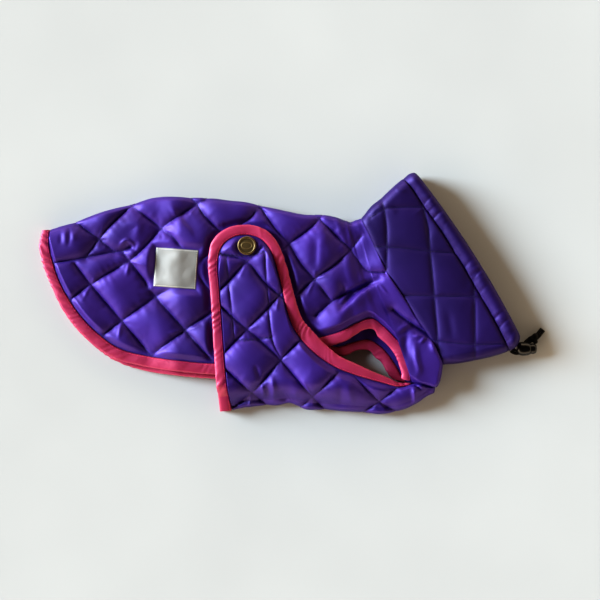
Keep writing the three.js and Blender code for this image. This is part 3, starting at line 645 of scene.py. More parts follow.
BELLY_FOLDS = (
    Swell(-18.0, -20.0, 1.6, 30.0, 60.0),
    Swell(30.0, -92.0, 2.6, 46.0, 22.0),
    Fold(((-23.2, -95.4), (-19.9, -105.3), (-18.2, -117.4)), 1.5, 2.2, 2.2),
    Fold(((-11.1, -88.8), (-7.8, -106.4), (-9.3, -124.0)), 2.2, 3, 3.6),
    Fold(((-14.8, -96.5), (-14.4, -117.4)), -1.6, 2.6, 2.6),
    Fold(((-2.3, -105.3), (3.2, -115.2), (7.6, -126.2)), -3.2, 5, 5),
    Fold(((1.0, -106.4), (7.6, -115.2), (10.4, -125.1)), 0.9, 1.2, 1.2),
    Fold(((14.2, -104.2), (17.5, -119.6)), 0.8, 4, 4),
    Fold(((-28.7, -76.7), (-22.6, -95.4)), -1.3, 2.5, 2.5),
    Fold(((72.5, -95.4), (79.1, -128.4)), 1.0, 4, 4),
    Fold(((65.9, -97.6), (64.8, -128.4)), -0.9, 4, 4),
    Fold(((142.9, -96.5), (152.3, -100.2), (158.3, -104.2)), 2.2, 2.4, 2.4),
    Fold(((145.1, -100.9), (155.0, -107.5)), -2.2, 1.3, 1.3),
    Fold(((144.6, -102.0), (147.3, -113.6), (146.6, -122.9)), 3.2, 4.5, 2.5),
)
COLLAR_FOLDS = (
    Fold(((181.4, -12.9), (184.7, -34.9), (188.0, -58.0)), -0.9, 5, 5),
    Fold(((182.5, -72.3), (218.8, -66.2), (249.6, -60.8)), -1.1, 1.6, 1.6, 0.1),
    Fold(((124.2, 121.3), (127.5, 113.6), (139.6, 111.4)), 0.7, 1.8, 1.8),
    Fold(((203.4, 25.6), (205.6, 1.4)), -0.6, 5, 5),
    Fold(((161.6, 86.1), (164.9, 58.6)), -0.7, 4, 4),
    Fold(((122.0, 13.5), (133.0, -7.4), (148.4, -31.6)), 0.8, 3, 3),
    Fold(((113.2, 96.0), (128.6, 87.2)), 0.7, 3, 3),
)


class Plan:
    """The coat's plan, and how it lies in the frame."""

    def __init__(self) -> None:
        """Finds the plan's place from the stud, which the frame holds."""
        low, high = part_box("stud_cap")
        self.move_x = (low[0] + high[0]) / 2 / MM - STUD_PLACE[0]
        self.move_y = (low[1] + high[1]) / 2 / MM - STUD_PLACE[1]

    def settle(self, x: Array, y: Array) -> tuple[Array, Array]:
        """Draws plan points sideways where the cloth is pulled."""
        dx = sum(shift.move_x * shift.weight(x, y) for shift in SHIFTS)
        dy = sum(shift.move_y * shift.weight(x, y) for shift in SHIFTS)
        return x + dx, y + dy

    def metres(self, points: Array, cloth: bool = True) -> Array:
        """Turns plan points into points of the frame, in metres."""
        flat = np.array(points, dtype=float).reshape(-1, 3)
        x, y = flat[:, 0], flat[:, 1]
        if cloth:
            x, y = self.settle(x, y)
        return np.stack([x + self.move_x, y + self.move_y, flat[:, 2]], axis=1) * MM


PLAN = Plan()


@dataclass
class Walls:
    """Two grids of points, the outer and inner faces of one piece of cloth, in the plan."""

    outer: Array
    inner: Array
    wrap: bool = False

    def round_rows(self, radius: float, first: bool, last: bool, depth: float = 0.97) -> None:
        """Rounds the cloth's first or last row, so that it ends in a soft edge."""
        way = self.way_down()
        for wanted, distance in ((first, way), (last, way[-1] - way)):
            if wanted:
                self.draw_in(np.broadcast_to(distance[:, None], self.outer.shape[:2]), radius, depth)

    def draw_in(self, distance: Array, radius: float, depth: float) -> None:
        """Draws both faces together towards an edge at distance 0, by up to that depth."""
        t = np.clip(1.0 - distance / radius, 0.0, 1.0)
        share = np.sqrt(np.clip(1.0 - depth * t * t, 0.0, 1.0))[..., None]
        middle = (self.outer + self.inner) / 2
        self.outer = middle + (self.outer - middle) * share
        self.inner = middle + (self.inner - middle) * share

    def way_down(self) -> Array:
        """Returns how far from the first row each row lies, on average."""
        gaps = np.linalg.norm(np.diff(self.outer[:, :, :2], axis=0), axis=2).mean(axis=1)
        return np.concatenate([[0.0], np.cumsum(gaps)])

    def close_up(self, t: Array, depth: float = 0.98) -> None:
        """Brings the upper and lower layers together where t nears 1, by up to that depth."""
        middle = (self.outer[..., 2].max(axis=1) + self.outer[..., 2].min(axis=1))[:, None] / 2
        share = np.sqrt(np.clip(1.0 - depth * t * t, 0.0, 1.0))
        for face in (self.outer, self.inner):
            face[..., 2] = middle + (face[..., 2] - middle) * share

    def faces(self, coarse: int) -> tuple[Array, Array, list[list[int]]]:
        """Joins the grids into one closed skin.

        Args:
            coarse: How many outer columns one inner column stands for.

        Returns:
            The points, the faces with four corners, and the faces with more.
        """
        rows, columns = self.outer.shape[:2]
        kept = np.arange(0, columns, coarse)
        if not self.wrap and kept[-1] != columns - 1:
            kept = np.append(kept, columns - 1)
        points = np.vstack([self.outer.reshape(-1, 3), self.inner[:, kept].reshape(-1, 3)])
        quads = [grid_faces(rows, columns, 0, self.wrap)]
        quads.append(grid_faces(rows, len(kept), rows * columns, self.wrap)[:, ::-1])
        inside = rows * columns
        many = []
        pairs = list(zip(range(len(kept) - 1), range(1, len(kept))))
        if self.wrap:
            pairs.append((len(kept) - 1, 0))
        for row, turn in ((0, False), (rows - 1, True)):
            for a, b in pairs:
                stop = kept[b] if b else columns
                ring = [row * columns + c % columns for c in range(kept[a], stop + 1)]
                ring += [inside + row * len(kept) + b, inside + row * len(kept) + a]
                many.append(ring if turn else ring[::-1])
        if not self.wrap:
            for column, turn in ((0, True), (columns - 1, False)):
                narrow = 0 if column == 0 else len(kept) - 1
                r = np.arange(rows - 1)
                ring = np.stack([
                    r * columns + column,
                    (r + 1) * columns + column,
                    inside + (r + 1) * len(kept) + narrow,
                    inside + r * len(kept) + narrow,
                ], axis=1)
                quads.append(ring if turn else ring[:, ::-1])
        return points, np.vstack(quads), many


def grid_faces(rows: int, columns: int, shift: int, wrap: bool) -> Array:
    """Returns the four-cornered faces between neighbouring points of a grid."""
    r, c = np.meshgrid(np.arange(rows - 1), np.arange(columns if wrap else columns - 1), indexing="ij")
    r, c = r.ravel(), c.ravel()
    after = (c + 1) % columns
    corners = (r * columns + c, r * columns + after, (r + 1) * columns + after, (r + 1) * columns + c)
    return np.stack(corners, axis=1) + shift


def ring_faces(rows: int, sides: int) -> tuple[Array, list[list[int]]]:
    """Returns the faces of a tube of rings, and those that close its two ends."""
    last = (rows - 1) * sides
    return grid_faces(rows, sides, 0, True), [list(range(sides))[::-1], list(range(last, last + sides))]


def turned_out(points: Array, quads: Array) -> bool:
    """Returns whether the faces of a closed skin point outwards."""
    a, b, c, d = (points[quads[:, i]] for i in range(4))
    first = np.einsum("ij,ij->i", a, np.cross(b, c)).sum()
    second = np.einsum("ij,ij->i", a, np.cross(c, d)).sum()
    return first + second > 0


def mesh_object(name: str, points: Array, quads: Array, many: list[list[int]],
                finish: Material, sharp: float = 55.0) -> Object:
    """Makes a mesh object.

    Args:
        name: The piece's name.
        points: The points in metres.
        quads: Faces with four corners.
        many: Other faces, as lists of point numbers.
        finish: The piece's material.
        sharp: Edges that turn more than this, in degrees, are shaded sharp.

    Returns:
        The object, linked to the scene, at the origin.
    """
    faces = quads.tolist() + many
    if not turned_out(points, quads):
        faces = [face[::-1] for face in faces]
    mesh = bpy.data.meshes.new(name)
    mesh.from_pydata(points.tolist(), [], faces)
    mesh.polygons.foreach_set("use_smooth", np.ones(len(faces), dtype=bool))
    mesh.set_sharp_from_angle(angle=math.radians(sharp))
    mesh.materials.append(finish)
    mesh.update()
    made = bpy.data.objects.new(name, mesh)
    bpy.context.scene.collection.objects.link(made)
    return made


def finish_piece(piece: Object, nodes: tuple[str, ...] = ()) -> None:
    """Seats a piece on the coat's body, hides the solids it stands for and logs its triangles."""
    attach(piece, "root")
    if nodes:
        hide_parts(*nodes)
    triangles = sum(len(face.vertices) - 2 for face in piece.data.polygons)
    LOG.info("%s: %d triangles", piece.name, triangles)


def cord_rings(line: Array, tangent: Array, radius: Array | float, sides: int) -> Array:
    """Returns rings of points round a cord's centre line."""
    tangent = tangent / np.linalg.norm(tangent, axis=1, keepdims=True)
    across = np.cross(tangent, np.array([0.0, 0.0, 1.0]))
    across /= np.linalg.norm(across, axis=1, keepdims=True)
    up = np.cross(across, tangent)
    angle = np.linspace(0.0, 2.0 * math.pi, sides, endpoint=False)[None, :, None]
    around = across[:, None, :] * np.cos(angle) + up[:, None, :] * np.sin(angle)
    return line[:, None, :] + radius * around


def braid_map(piece: Object, way: Array, sides: int) -> None:
    """Gives a tube of rings a map along its way, in metres, and around it, in turns."""
    corners = np.zeros(len(piece.data.loops), dtype=int)
    piece.data.loops.foreach_get("vertex_index", corners)
    layer = piece.data.uv_layers.new(name="braid")
    flat = np.stack([way[corners // sides], (corners % sides) / sides], axis=1)
    layer.data.foreach_set("uv", flat.astype(np.float32).ravel())


class Skin:
    """Finds the surface of a finished piece straight above or below a point of the plan."""

    def __init__(self, piece: Object) -> None:
        """Builds the search tree of the piece's faces."""
        points = [vertex.co.copy() for vertex in piece.data.vertices]
        faces = [tuple(face.vertices) for face in piece.data.polygons]
        self.tree = BVHTree.FromPolygons(points, faces)

    def drop(self, x: float, y: float, below: bool = False) -> tuple[Vector, Vector] | None:
        """Returns the place and normal where a plumb line meets the piece, or None."""
        start = Vector((x, y, -0.02 if below else 0.08))
        way = Vector((0, 0, 1 if below else -1))
        place, normal, _, _ = self.tree.ray_cast(start, way)
        return None if place is None else (place, normal)


def new_group(name: str, inputs: dict[str, float], outputs: tuple[str, ...]) -> NodeTree:
    """Starts a shader node group with plain number sockets.

    Args:
        name: The group's name.
        inputs: Input names with their usual values.
        outputs: Output names.

    Returns:
        The group, with its Group Input and Group Output nodes named In and Out.
    """
    group = bpy.data.node_groups.new(name, "ShaderNodeTree")
    for key, value in inputs.items():
        socket = group.interface.new_socket(key, in_out="INPUT", socket_type="NodeSocketFloat")
        socket.default_value = value
    for key in outputs:
        group.interface.new_socket(key, in_out="OUTPUT", socket_type="NodeSocketFloat")
    group.nodes.new("NodeGroupInput").name = "In"
    group.nodes.new("NodeGroupOutput").name = "Out"
    return group


def math_node(tree: NodeTree, kind: str, a: object, b: object = None) -> Socket:
    """Adds a Math node.

    Args:
        tree: The tree it goes into.
        kind: The operation.
        a: A number or a socket.
        b: A number or a socket, or None.

    Returns:
        The node's output socket.
    """
    node = tree.nodes.new("ShaderNodeMath")
    node.operation = kind
    for socket, value in zip(node.inputs, (a, b)):
        if isinstance(value, Socket):
            tree.links.new(value, socket)
        elif value is not None:
            socket.default_value = value
    return node.outputs[0]


def weave_group() -> NodeTree:
    """Returns the weave: threads that pass over and under each other, as a height and a mask."""
    group = new_group("thread weave", {"Threads": 1800.0, "Turn": 0.0}, ("Height", "Mask"))
    given, out = group.nodes["In"], group.nodes["Out"]
    place = group.nodes.new("ShaderNodeTexCoord")
    turn = group.nodes.new("ShaderNodeVectorRotate")
    turn.rotation_type = "Z_AXIS"
    group.links.new(place.outputs["Object"], turn.inputs["Vector"])
    group.links.new(given.outputs["Turn"], turn.inputs["Angle"])
    parts = group.nodes.new("ShaderNodeSeparateXYZ")
    group.links.new(turn.outputs[0], parts.inputs[0])
    waves_xy = []
    for axis in ("X", "Y"):
        phase = math_node(group, "MULTIPLY", parts.outputs[axis], given.outputs["Threads"])
        waves_xy.append(math_node(group, "SINE", phase))
    over = math_node(group, "MULTIPLY", waves_xy[0], waves_xy[1])
    group.links.new(over, out.inputs["Height"])
    group.links.new(math_node(group, "GREATER_THAN", over, 0.0), out.inputs["Mask"])
    return group


def crumple_group() -> NodeTree:
    """Returns the fine creases of light cloth, as a height and a slow variation of tone."""
    group = new_group("fine creases", {"Size": 90.0}, ("Height", "Tone"))
    given, out = group.nodes["In"], group.nodes["Out"]
    place = group.nodes.new("ShaderNodeTexCoord")
    fine = group.nodes.new("ShaderNodeTexNoise")
    fine.noise_type = "RIDGED_MULTIFRACTAL"
    fine.inputs["Detail"].default_value = 4.0
    fine.inputs["Roughness"].default_value = 0.45
    fine.inputs["Distortion"].default_value = 0.6
    group.links.new(place.outputs["Object"], fine.inputs["Vector"])
    group.links.new(given.outputs["Size"], fine.inputs["Scale"])
    slow = group.nodes.new("ShaderNodeTexNoise")
    slow.inputs["Scale"].default_value = 14.0
    slow.inputs["Detail"].default_value = 3.0
    group.links.new(place.outputs["Object"], slow.inputs["Vector"])
    group.links.new(fine.outputs["Fac"], out.inputs["Height"])
    group.links.new(slow.outputs["Fac"], out.inputs["Tone"])
    return group


class Finishes:
    """Makes the materials, each once, from shared groups of nodes."""

    def __init__(self) -> None:
        """Builds the shared groups."""
        self.weave = weave_group()
        self.crumple = crumple_group()

    def start(self, name: str) -> tuple[Material, NodeTree, ShaderNode]:
        """Starts a material and returns it with its tree and its Principled shader."""
        material = bpy.data.materials.new(name)
        material.use_nodes = True
        tree = material.node_tree
        return material, tree, tree.nodes["Principled BSDF"]

    def group(self, tree: NodeTree, group: NodeTree,
              **values: float) -> ShaderNode:
        """Places a shared group in a material with its own values."""
        node = tree.nodes.new("ShaderNodeGroup")
        node.node_tree = group
        for key, value in values.items():
            node.inputs[key].default_value = value
        return node

    def bump(self, tree: NodeTree, height: Socket, depth: float,
             strength: float, before: Socket | None = None) -> Socket:
        """Adds a Bump node of that depth in metres and returns its normal."""
        node = tree.nodes.new("ShaderNodeBump")
        node.inputs["Distance"].default_value = depth
        node.inputs["Strength"].default_value = strength
        tree.links.new(height, node.inputs["Height"])
        if before is not None:
            tree.links.new(before, node.inputs["Normal"])
        return node.outputs["Normal"]

    def tint(self, tree: NodeTree, mask: Socket, dark: Colour,
             light: Colour, low: float = 0.3, high: float = 0.7) -> Socket:
        """Turns a mask into a colour between two others."""
        ramp = tree.nodes.new("ShaderNodeValToRGB")
        ramp.color_ramp.elements[0].position = low
        ramp.color_ramp.elements[0].color = (*dark, 1.0)
        ramp.color_ramp.elements[1].position = high
        ramp.color_ramp.elements[1].color = (*light, 1.0)
        tree.links.new(mask, ramp.inputs["Fac"])
        return ramp.outputs["Color"]

    def between(self, tree: NodeTree, mask: Socket, low: float,
                high: float) -> Socket:
        """Turns a mask into a number between two others."""
        span = tree.nodes.new("ShaderNodeMapRange")
        span.inputs["To Min"].default_value = low
        span.inputs["To Max"].default_value = high
        tree.links.new(mask, span.inputs["Value"])
        return span.outputs["Result"]


@dataclass(frozen=True)
class ClothFinish:
    """A woven cloth with its tones, gloss, sheen and creases.

    Satin is the share of light that the threads mirror in their own colour. Smoother and rougher
    are how far the roughness strays on either side. Turn is the weave's, in radians.
    """

    name: str
    dark: Colour
    light: Colour
    satin: float
    gloss: float
    roughness: float
    sheen: float
    sheen_tint: Colour
    specular: float
    threads: float
    weave_depth: float
    crease_size: float
    crease_depth: float
    turn: float = 0.0
    smoother: float = 0.05
    rougher: float = 0.06
    gloss_roughness: float = 0.5
    sheen_roughness: float = 0.35

    def make(self, finishes: Finishes) -> Material:
        """Builds the material.

        Args:
            finishes: What gives the shared groups.

        Returns:
            The material.
        """
        material, tree, shader = finishes.start(self.name)
        weave = finishes.group(tree, finishes.weave, Threads=self.threads, Turn=self.turn)
        crumple = finishes.group(tree, finishes.crumple, Size=self.crease_size)
        colour = finishes.tint(tree, crumple.outputs["Tone"], self.dark, self.light)
        tree.links.new(colour, shader.inputs["Base Color"])
        low, high = self.roughness - self.smoother, self.roughness + self.rougher
        rough = finishes.between(tree, crumple.outputs["Tone"], low, high)
        tree.links.new(rough, shader.inputs["Roughness"])
        shader.inputs["Metallic"].default_value = self.satin
        shader.inputs["Coat Weight"].default_value = self.gloss
        shader.inputs["Coat Roughness"].default_value = self.gloss_roughness
        shader.inputs["Sheen Weight"].default_value = self.sheen
        shader.inputs["Sheen Roughness"].default_value = self.sheen_roughness
        shader.inputs["Sheen Tint"].default_value = (*self.sheen_tint, 1.0)
        shader.inputs["Specular IOR Level"].default_value = self.specular
        creases = finishes.bump(tree, crumple.outputs["Height"], self.crease_depth, 0.6)
        normal = finishes.bump(tree, weave.outputs["Height"], self.weave_depth, 0.5, creases)
        tree.links.new(normal, shader.inputs["Normal"])
        return material


NYLON = ClothFinish(
    name="purple quilted nylon", dark=(0.030, 0.0074, 0.150), light=(0.049, 0.0140, 0.222),
    satin=0.5, gloss=0.2, roughness=0.55, sheen=0.0, sheen_tint=(0.62, 0.5, 1.0), specular=0.5,
    threads=9000.0, weave_depth=0.00004, crease_size=42.0, crease_depth=0.0005,
)
# The collar's nylon is a darker copy of the body's: its darker colours are painted shade. It is cut with
# its grain across the window's light and has less gloss, so it mirrors less of it.
SHADED_COLLAR_NYLON = replace(
    NYLON, name="purple quilted nylon of the collar", dark=(0.0138, 0.0030, 0.076),
    light=(0.0230, 0.0055, 0.112), gloss=0.05, turn=0.785,
)
BINDING = ClothFinish(
    name="pink bias binding", dark=(0.285, 0.021, 0.074), light=(0.385, 0.036, 0.112),
    satin=0.25, gloss=0.05, roughness=0.45, sheen=0.08, sheen_tint=(1.0, 0.6, 0.72), specular=0.5,
    threads=6500.0, weave_depth=0.00005, crease_size=150.0, crease_depth=0.0004, turn=0.785,
)
LABEL_CLOTH = ClothFinish(
    name="off-white woven label", dark=(0.195, 0.187, 0.185), light=(0.25, 0.242, 0.24),
    satin=0.45, gloss=0.1, roughness=0.45, sheen=0.05, sheen_tint=(1.0, 0.98, 0.95), specular=0.45,
    threads=5200.0, weave_depth=0.0001, crease_size=40.0, crease_depth=0.0004, turn=-0.073,
)


@dataclass(frozen=True)
class ThreadFinish:
    """Sewing thread between two tones, with marks of a size of its own."""

    name: str
    dark: Colour
    light: Colour
    roughness: float = 0.5
    mark_size: float = 900.0

    def make(self, finishes: Finishes) -> Material:
        """Builds the material."""
        material, tree, shader = finishes.start(self.name)
        crumple = finishes.group(tree, finishes.crumple, Size=self.mark_size)
        colour = finishes.tint(tree, crumple.outputs["Tone"], self.dark, self.light)
        tree.links.new(colour, shader.inputs["Base Color"])
        shader.inputs["Roughness"].default_value = self.roughness
        return material


PURPLE_THREAD = ThreadFinish("purple thread", (0.008, 0.004, 0.045), (0.016, 0.008, 0.08), 0.55)
PINK_THREAD = ThreadFinish("pink thread", (0.55, 0.02, 0.10), (0.75, 0.04, 0.16))
WHITE_THREAD = ThreadFinish("white thread", (0.55, 0.53, 0.50), (0.7, 0.68, 0.66))


def antique_brass(finishes: Finishes) -> Material:
    """Returns brass that is dark in its hollows and worn bright on its edges."""
    material, tree, shader = finishes.start("antique brass")
    shape = tree.nodes.new("ShaderNodeAttribute")
    shape.attribute_name = "worn"
    crumple = finishes.group(tree, finishes.crumple, Size=260.0)
    worn = math_node(tree, "MULTIPLY", crumple.outputs["Tone"], 0.35)
    mask = math_node(tree, "ADD", shape.outputs["Fac"], worn)
    colour = finishes.tint(tree, mask, (0.020, 0.014, 0.008), (0.26, 0.19, 0.095), 0.15, 1.0)
    tree.links.new(colour, shader.inputs["Base Color"])
    shader.inputs["Metallic"].default_value = 0.92
    tree.links.new(finishes.between(tree, mask, 0.6, 0.42), shader.inputs["Roughness"])
    tree.links.new(finishes.bump(tree, crumple.outputs["Height"], 0.0001, 0.5), shader.inputs["Normal"])
    return material


def black_plastic(finishes: Finishes) -> Material:
    """Returns glossy black moulded plastic with faint handling marks."""
    material, tree, shader = finishes.start("glossy black plastic")
    crumple = finishes.group(tree, finishes.crumple, Size=420.0)
    colour = finishes.tint(tree, crumple.outputs["Tone"], (0.004, 0.004, 0.005), (0.009, 0.009, 0.010))
    tree.links.new(colour, shader.inputs["Base Color"])
    rough = finishes.between(tree, crumple.outputs["Tone"], 0.20, 0.30)
    tree.links.new(rough, shader.inputs["Roughness"])
    tree.links.new(finishes.bump(tree, crumple.outputs["Height"], 0.00005, 0.4), shader.inputs["Normal"])
    shader.inputs["Specular IOR Level"].default_value = 0.35
    return material


def braided_cord(finishes: Finishes) -> Material:
    """Returns the black braid, whose strands cross along the cord's own map, with painted shade in the
    hollows between the strands.
    """
    slant, strands = 9000.0, 8
    material, tree, shader = finishes.start("black braided cord")
    place = tree.nodes.new("ShaderNodeUVMap")
    place.uv_map = "braid"
    parts = tree.nodes.new("ShaderNodeSeparateXYZ")
    tree.links.new(place.outputs["UV"], parts.inputs[0])
    along = math_node(tree, "MULTIPLY", parts.outputs["X"], slant)
    around = math_node(tree, "MULTIPLY", parts.outputs["Y"], 2.0 * math.pi * strands)
    left = math_node(tree, "SINE", math_node(tree, "ADD", along, around))
    right = math_node(tree, "SINE", math_node(tree, "SUBTRACT", along, around))
    height = math_node(tree, "MAXIMUM", left, right)
    # The low places between the strands get the darker colour: painted shade.
    colour = finishes.tint(tree, height, (0.001, 0.001, 0.001), (0.007, 0.007, 0.008), 0.0, 1.0)
    tree.links.new(colour, shader.inputs["Base Color"])
    shader.inputs["Roughness"].default_value = 0.72
    shader.inputs["Specular IOR Level"].default_value = 0.2
    tree.links.new(finishes.bump(tree, height, 0.00025, 0.8), shader.inputs["Normal"])
    return material


@dataclass
class FoldedPanel:
    """A panel folded along one side, with its right layer over its left layer.

    Unevenness is the height of slow waves of the given width. Scallop is how far the padding
    pushes the outline out between stitch lines. From the joined row on, the panel is sewn to
    another. The roll off is how much lower the cloth starts at the fold, over its reach.
    """

    name: str
    rows: Columns
    quilting: Quilting
    folds: tuple[Fold | Swell, ...]
    right_columns: int
    left_columns: int = 34
    nose_columns: int = 12
    unevenness: float = 1.0
    wave_width: float = 48.0
    scallop: float = 0.36
    joined_row: float = 22.0
    roll_off: float = 2.2
    roll_reach: float = 6.5
    sewn_depth: float = -0.9
    bound_reach: float = 9.0
    joined_reach: float = 3.2
    seed: int = 11

    def left_height(self, row: Columns) -> Array:
        """Returns the height of the left layer's underside for each row."""
        raise NotImplementedError

    def right_height(self, row: Columns, s: Array) -> Array:
        """Returns the height of the right layer's underside at the distances s from the fold."""
        raise NotImplementedError

    def relief(self, x: Array, y: Array) -> Array:
        """Returns the height of the padding and folds over the right layer's wall."""
        rise = self.quilting.lift(x, y)
        for fold in self.folds:
            rise = rise + fold.lift(x, y)
        return rise + self.unevenness * waves(x, y, self.wave_width, self.seed)

    def crown(self, row: Columns, s: Array) -> Array:
        """Returns how much rounder than its wall the right layer climbs. A flat one doesn't."""
        return np.zeros(s.shape)

    def close(self, walls: Walls, u: Array, s: Array, length: Array) -> None:
        """Shapes the panel's open ends. A plain panel leaves them as they are."""

    def walls(self) -> Walls:
        """Returns both faces of the folded cloth."""
        u = even_stations(self.rows, ("fold", "in"), GRID_PITCH)
        row = row_at(self.rows, u)
        fold = np.stack([row["foldX"], row["foldY"]], axis=1)
        right = np.stack([row["inX"], row["inY"]], axis=1)
        left = right + np.stack([row["slipX"], row["slipY"]], axis=1)
        low = self.left_height(row)
        zero = np.zeros((len(u), 1))
        half = (self.right_height(row, zero)[:, 0] + WALL - low) / 2
        middle = (low + half)[:, None]

        left_xy, left_s, left_length = self.side(fold, left, half, self.left_columns)
        right_xy, right_s, right_length = self.side(fold, right, half, self.right_columns)
        pressed = self.pressed(left_xy, left_s, left_length)
        left_outer = np.dstack([left_xy, low[:, None] + pressed])
        left_inner = np.dstack([left_xy, np.broadcast_to(low[:, None] + WALL, left_s.shape)])

        base = self.right_height(row, right_s)
        rise = self.relief(right_xy[..., 0], right_xy[..., 1])
        rise = self.tuck(rise, right_s, right_length, u[:, None]) + self.crown(row, right_s)
        rise = rise - self.roll_off * np.exp(-(right_s - right_s[:, :1]) / self.roll_reach)
        right_outer = np.dstack([right_xy, base + WALL + rise])
        right_inner = np.dstack([right_xy, base])

        nose_outer, nose_inner = self.nose(fold, left_xy[:, 0], right_xy[:, 0], half, middle)
        outer = np.concatenate([left_outer[:, ::-1], nose_outer, right_outer], axis=1)
        inner = np.concatenate([left_inner[:, ::-1], nose_inner, right_inner], axis=1)
        walls = Walls(outer, inner)
        s = np.concatenate([left_s[:, ::-1], np.zeros(nose_outer.shape[:2]), right_s], axis=1)
        reach = np.concatenate([
            np.broadcast_to(left_length, left_s.shape),
            np.full(nose_outer.shape[:2], np.inf),
            np.broadcast_to(right_length, right_s.shape),
        ], axis=1)
        self.close(walls, u, s, reach)
        return walls

    def side(self, fold: Array, edge: Array, half: Array, count: int) -> tuple[Array, Array, Array]:
        """Lays out one layer from the fold to its edge.

        Args:
            fold: The fold's points, one for each row.
            edge: The edge's points.
            half: Half the height of the folded cloth.
            count: How many steps a row has.

        Returns:
            The layer's points, their distances from the fold, and the rows' lengths.
        """
        way = edge - fold
        length = np.hypot(way[:, 0], way[:, 1])[:, None]
        start = np.minimum(half[:, None], 0.6 * length)
        s = mix(start, length, np.linspace(0.0, 1.0, count + 1)[None, :])
        return fold[:, None, :] + way[:, None, :] * (s / length)[..., None], s, length

    def nose(self, fold: Array, left: Array, right: Array, half: Array,
             middle: Array) -> tuple[Array, Array]:
        """Bends the cloth round the fold, with its outline drawn in at the stitch lines.

        Args:
            fold: The fold's points, one for each row.
            left: Where the left layer starts.
            right: Where the right layer starts.
            half: Half the height of the folded cloth.
            middle: The height of its middle.

        Returns:
            The outer and inner points.
        """
        angle = np.linspace(-90.0, 90.0, self.nose_columns + 1)[1:-1]
        t = ((angle + 90.0) / 180.0)[None, :, None]
        reach = np.cos(np.radians(angle))[None, :]
        up = np.sin(np.radians(angle))[None, :]
        root = mix(left[:, None, :], right[:, None, :], t)
        thin = ((half - WALL) / half)[:, None]
        outer = mix(root, fold[:, None, :], reach[..., None])
        inner = mix(root, fold[:, None, :], (reach * thin)[..., None])
        rise = self.relief(outer[..., 0], outer[..., 1]) - self.roll_off
        share = mix(0.5, 1.0, smooth(0.0, 60.0, angle))[None, :] * smooth(-80.0, -10.0, angle)[None, :]
        swell = rise * share - 0.6 * reach
        away = fold[:, None, :] - root
        away = away / np.maximum(np.linalg.norm(away, axis=2, keepdims=True), TINY)
        outer = outer + away * ((self.scallop * rise - 0.9) * share * reach)[..., None]
        outer_z = np.maximum(middle + half[:, None] * up + swell * up, 0.0)
        inner_z = middle + (half - WALL)[:, None] * up
        return np.dstack([outer, outer_z]), np.dstack([inner, inner_z])

    def pressed(self, xy: Array, s: Array, length: Array) -> Array:
        """Returns how far the quilting lines are drawn up from the ground under the left layer."""
        drawn = self.quilting.drawn_up(xy[..., 0], xy[..., 1])
        return drawn * smooth(0.0, 8.0, s - s[:, :1]) * smooth(0.0, 6.0, length - s)

    def tuck(self, rise: Array, s: Array, length: Array, u: Array) -> Array:
        """Flattens the padding where the binding is sewn on, and less where two panels meet."""
        joined = smooth(self.joined_row - 0.7, self.joined_row, u)
        reach = mix(self.bound_reach, self.joined_reach, joined)
        return mix(mix(self.sewn_depth, 0.0, joined), rise, smooth(0.0, reach, length - s))

    def build(self, finish: Material) -> Object:
        """Makes the panel's mesh."""
        points, quads, many = self.walls().faces(4)
        return mesh_object(self.name, PLAN.metres(points), quads, many, finish)


# The flap's outline in the plan: its binding's free edge, and back along the belly fold.
FLAP_ROWS = 19
FLAP_OUTLINE = np.vstack([
    np.stack([BELLY_ROWS["outX"][:FLAP_ROWS], BELLY_ROWS["outY"][:FLAP_ROWS]], axis=1),
    [(BELLY_ROWS["foldX"][FLAP_ROWS - 1], BELLY_ROWS["foldY"][FLAP_ROWS - 1])],
    [(BELLY_ROWS["foldX"][0], BELLY_ROWS["foldY"][0])],
])


@dataclass(frozen=True)
class LabelPlace:
    """Where the woven label lies on the back panel, in mm, and its lift over it in metres.

    It thins over the sewn reach towards its edges, and ruffles inside them.
    """

    x: float = -115.8
    y: float = 27.5
    width: float = 47.0
    height: float = 43.0
    thick: float = 0.6
    tilt: float = -4.2
    seat: float = 2.8
    ruffle: float = 0.28
    lift: float = 0.00012
    sewn_reach: float = 1.6

    def turned(self, dx: Array, dy: Array) -> tuple[Array, Array]:
        """Returns the plan points at those distances along and across the label."""
        c, s = math.cos(math.radians(self.tilt)), math.sin(math.radians(self.tilt))
        return self.x + dx * c - dy * s, self.y + dx * s + dy * c

    def beyond(self, x: Array, y: Array) -> Array:
        """Returns how far points lie outside the label."""
        c, s = math.cos(math.radians(-self.tilt)), math.sin(math.radians(-self.tilt))
        dx = (x - self.x) * c - (y - self.y) * s
        dy = (x - self.x) * s + (y - self.y) * c
        return np.maximum(np.abs(dx) - self.width / 2, np.abs(dy) - self.height / 2)


LABEL = LabelPlace()


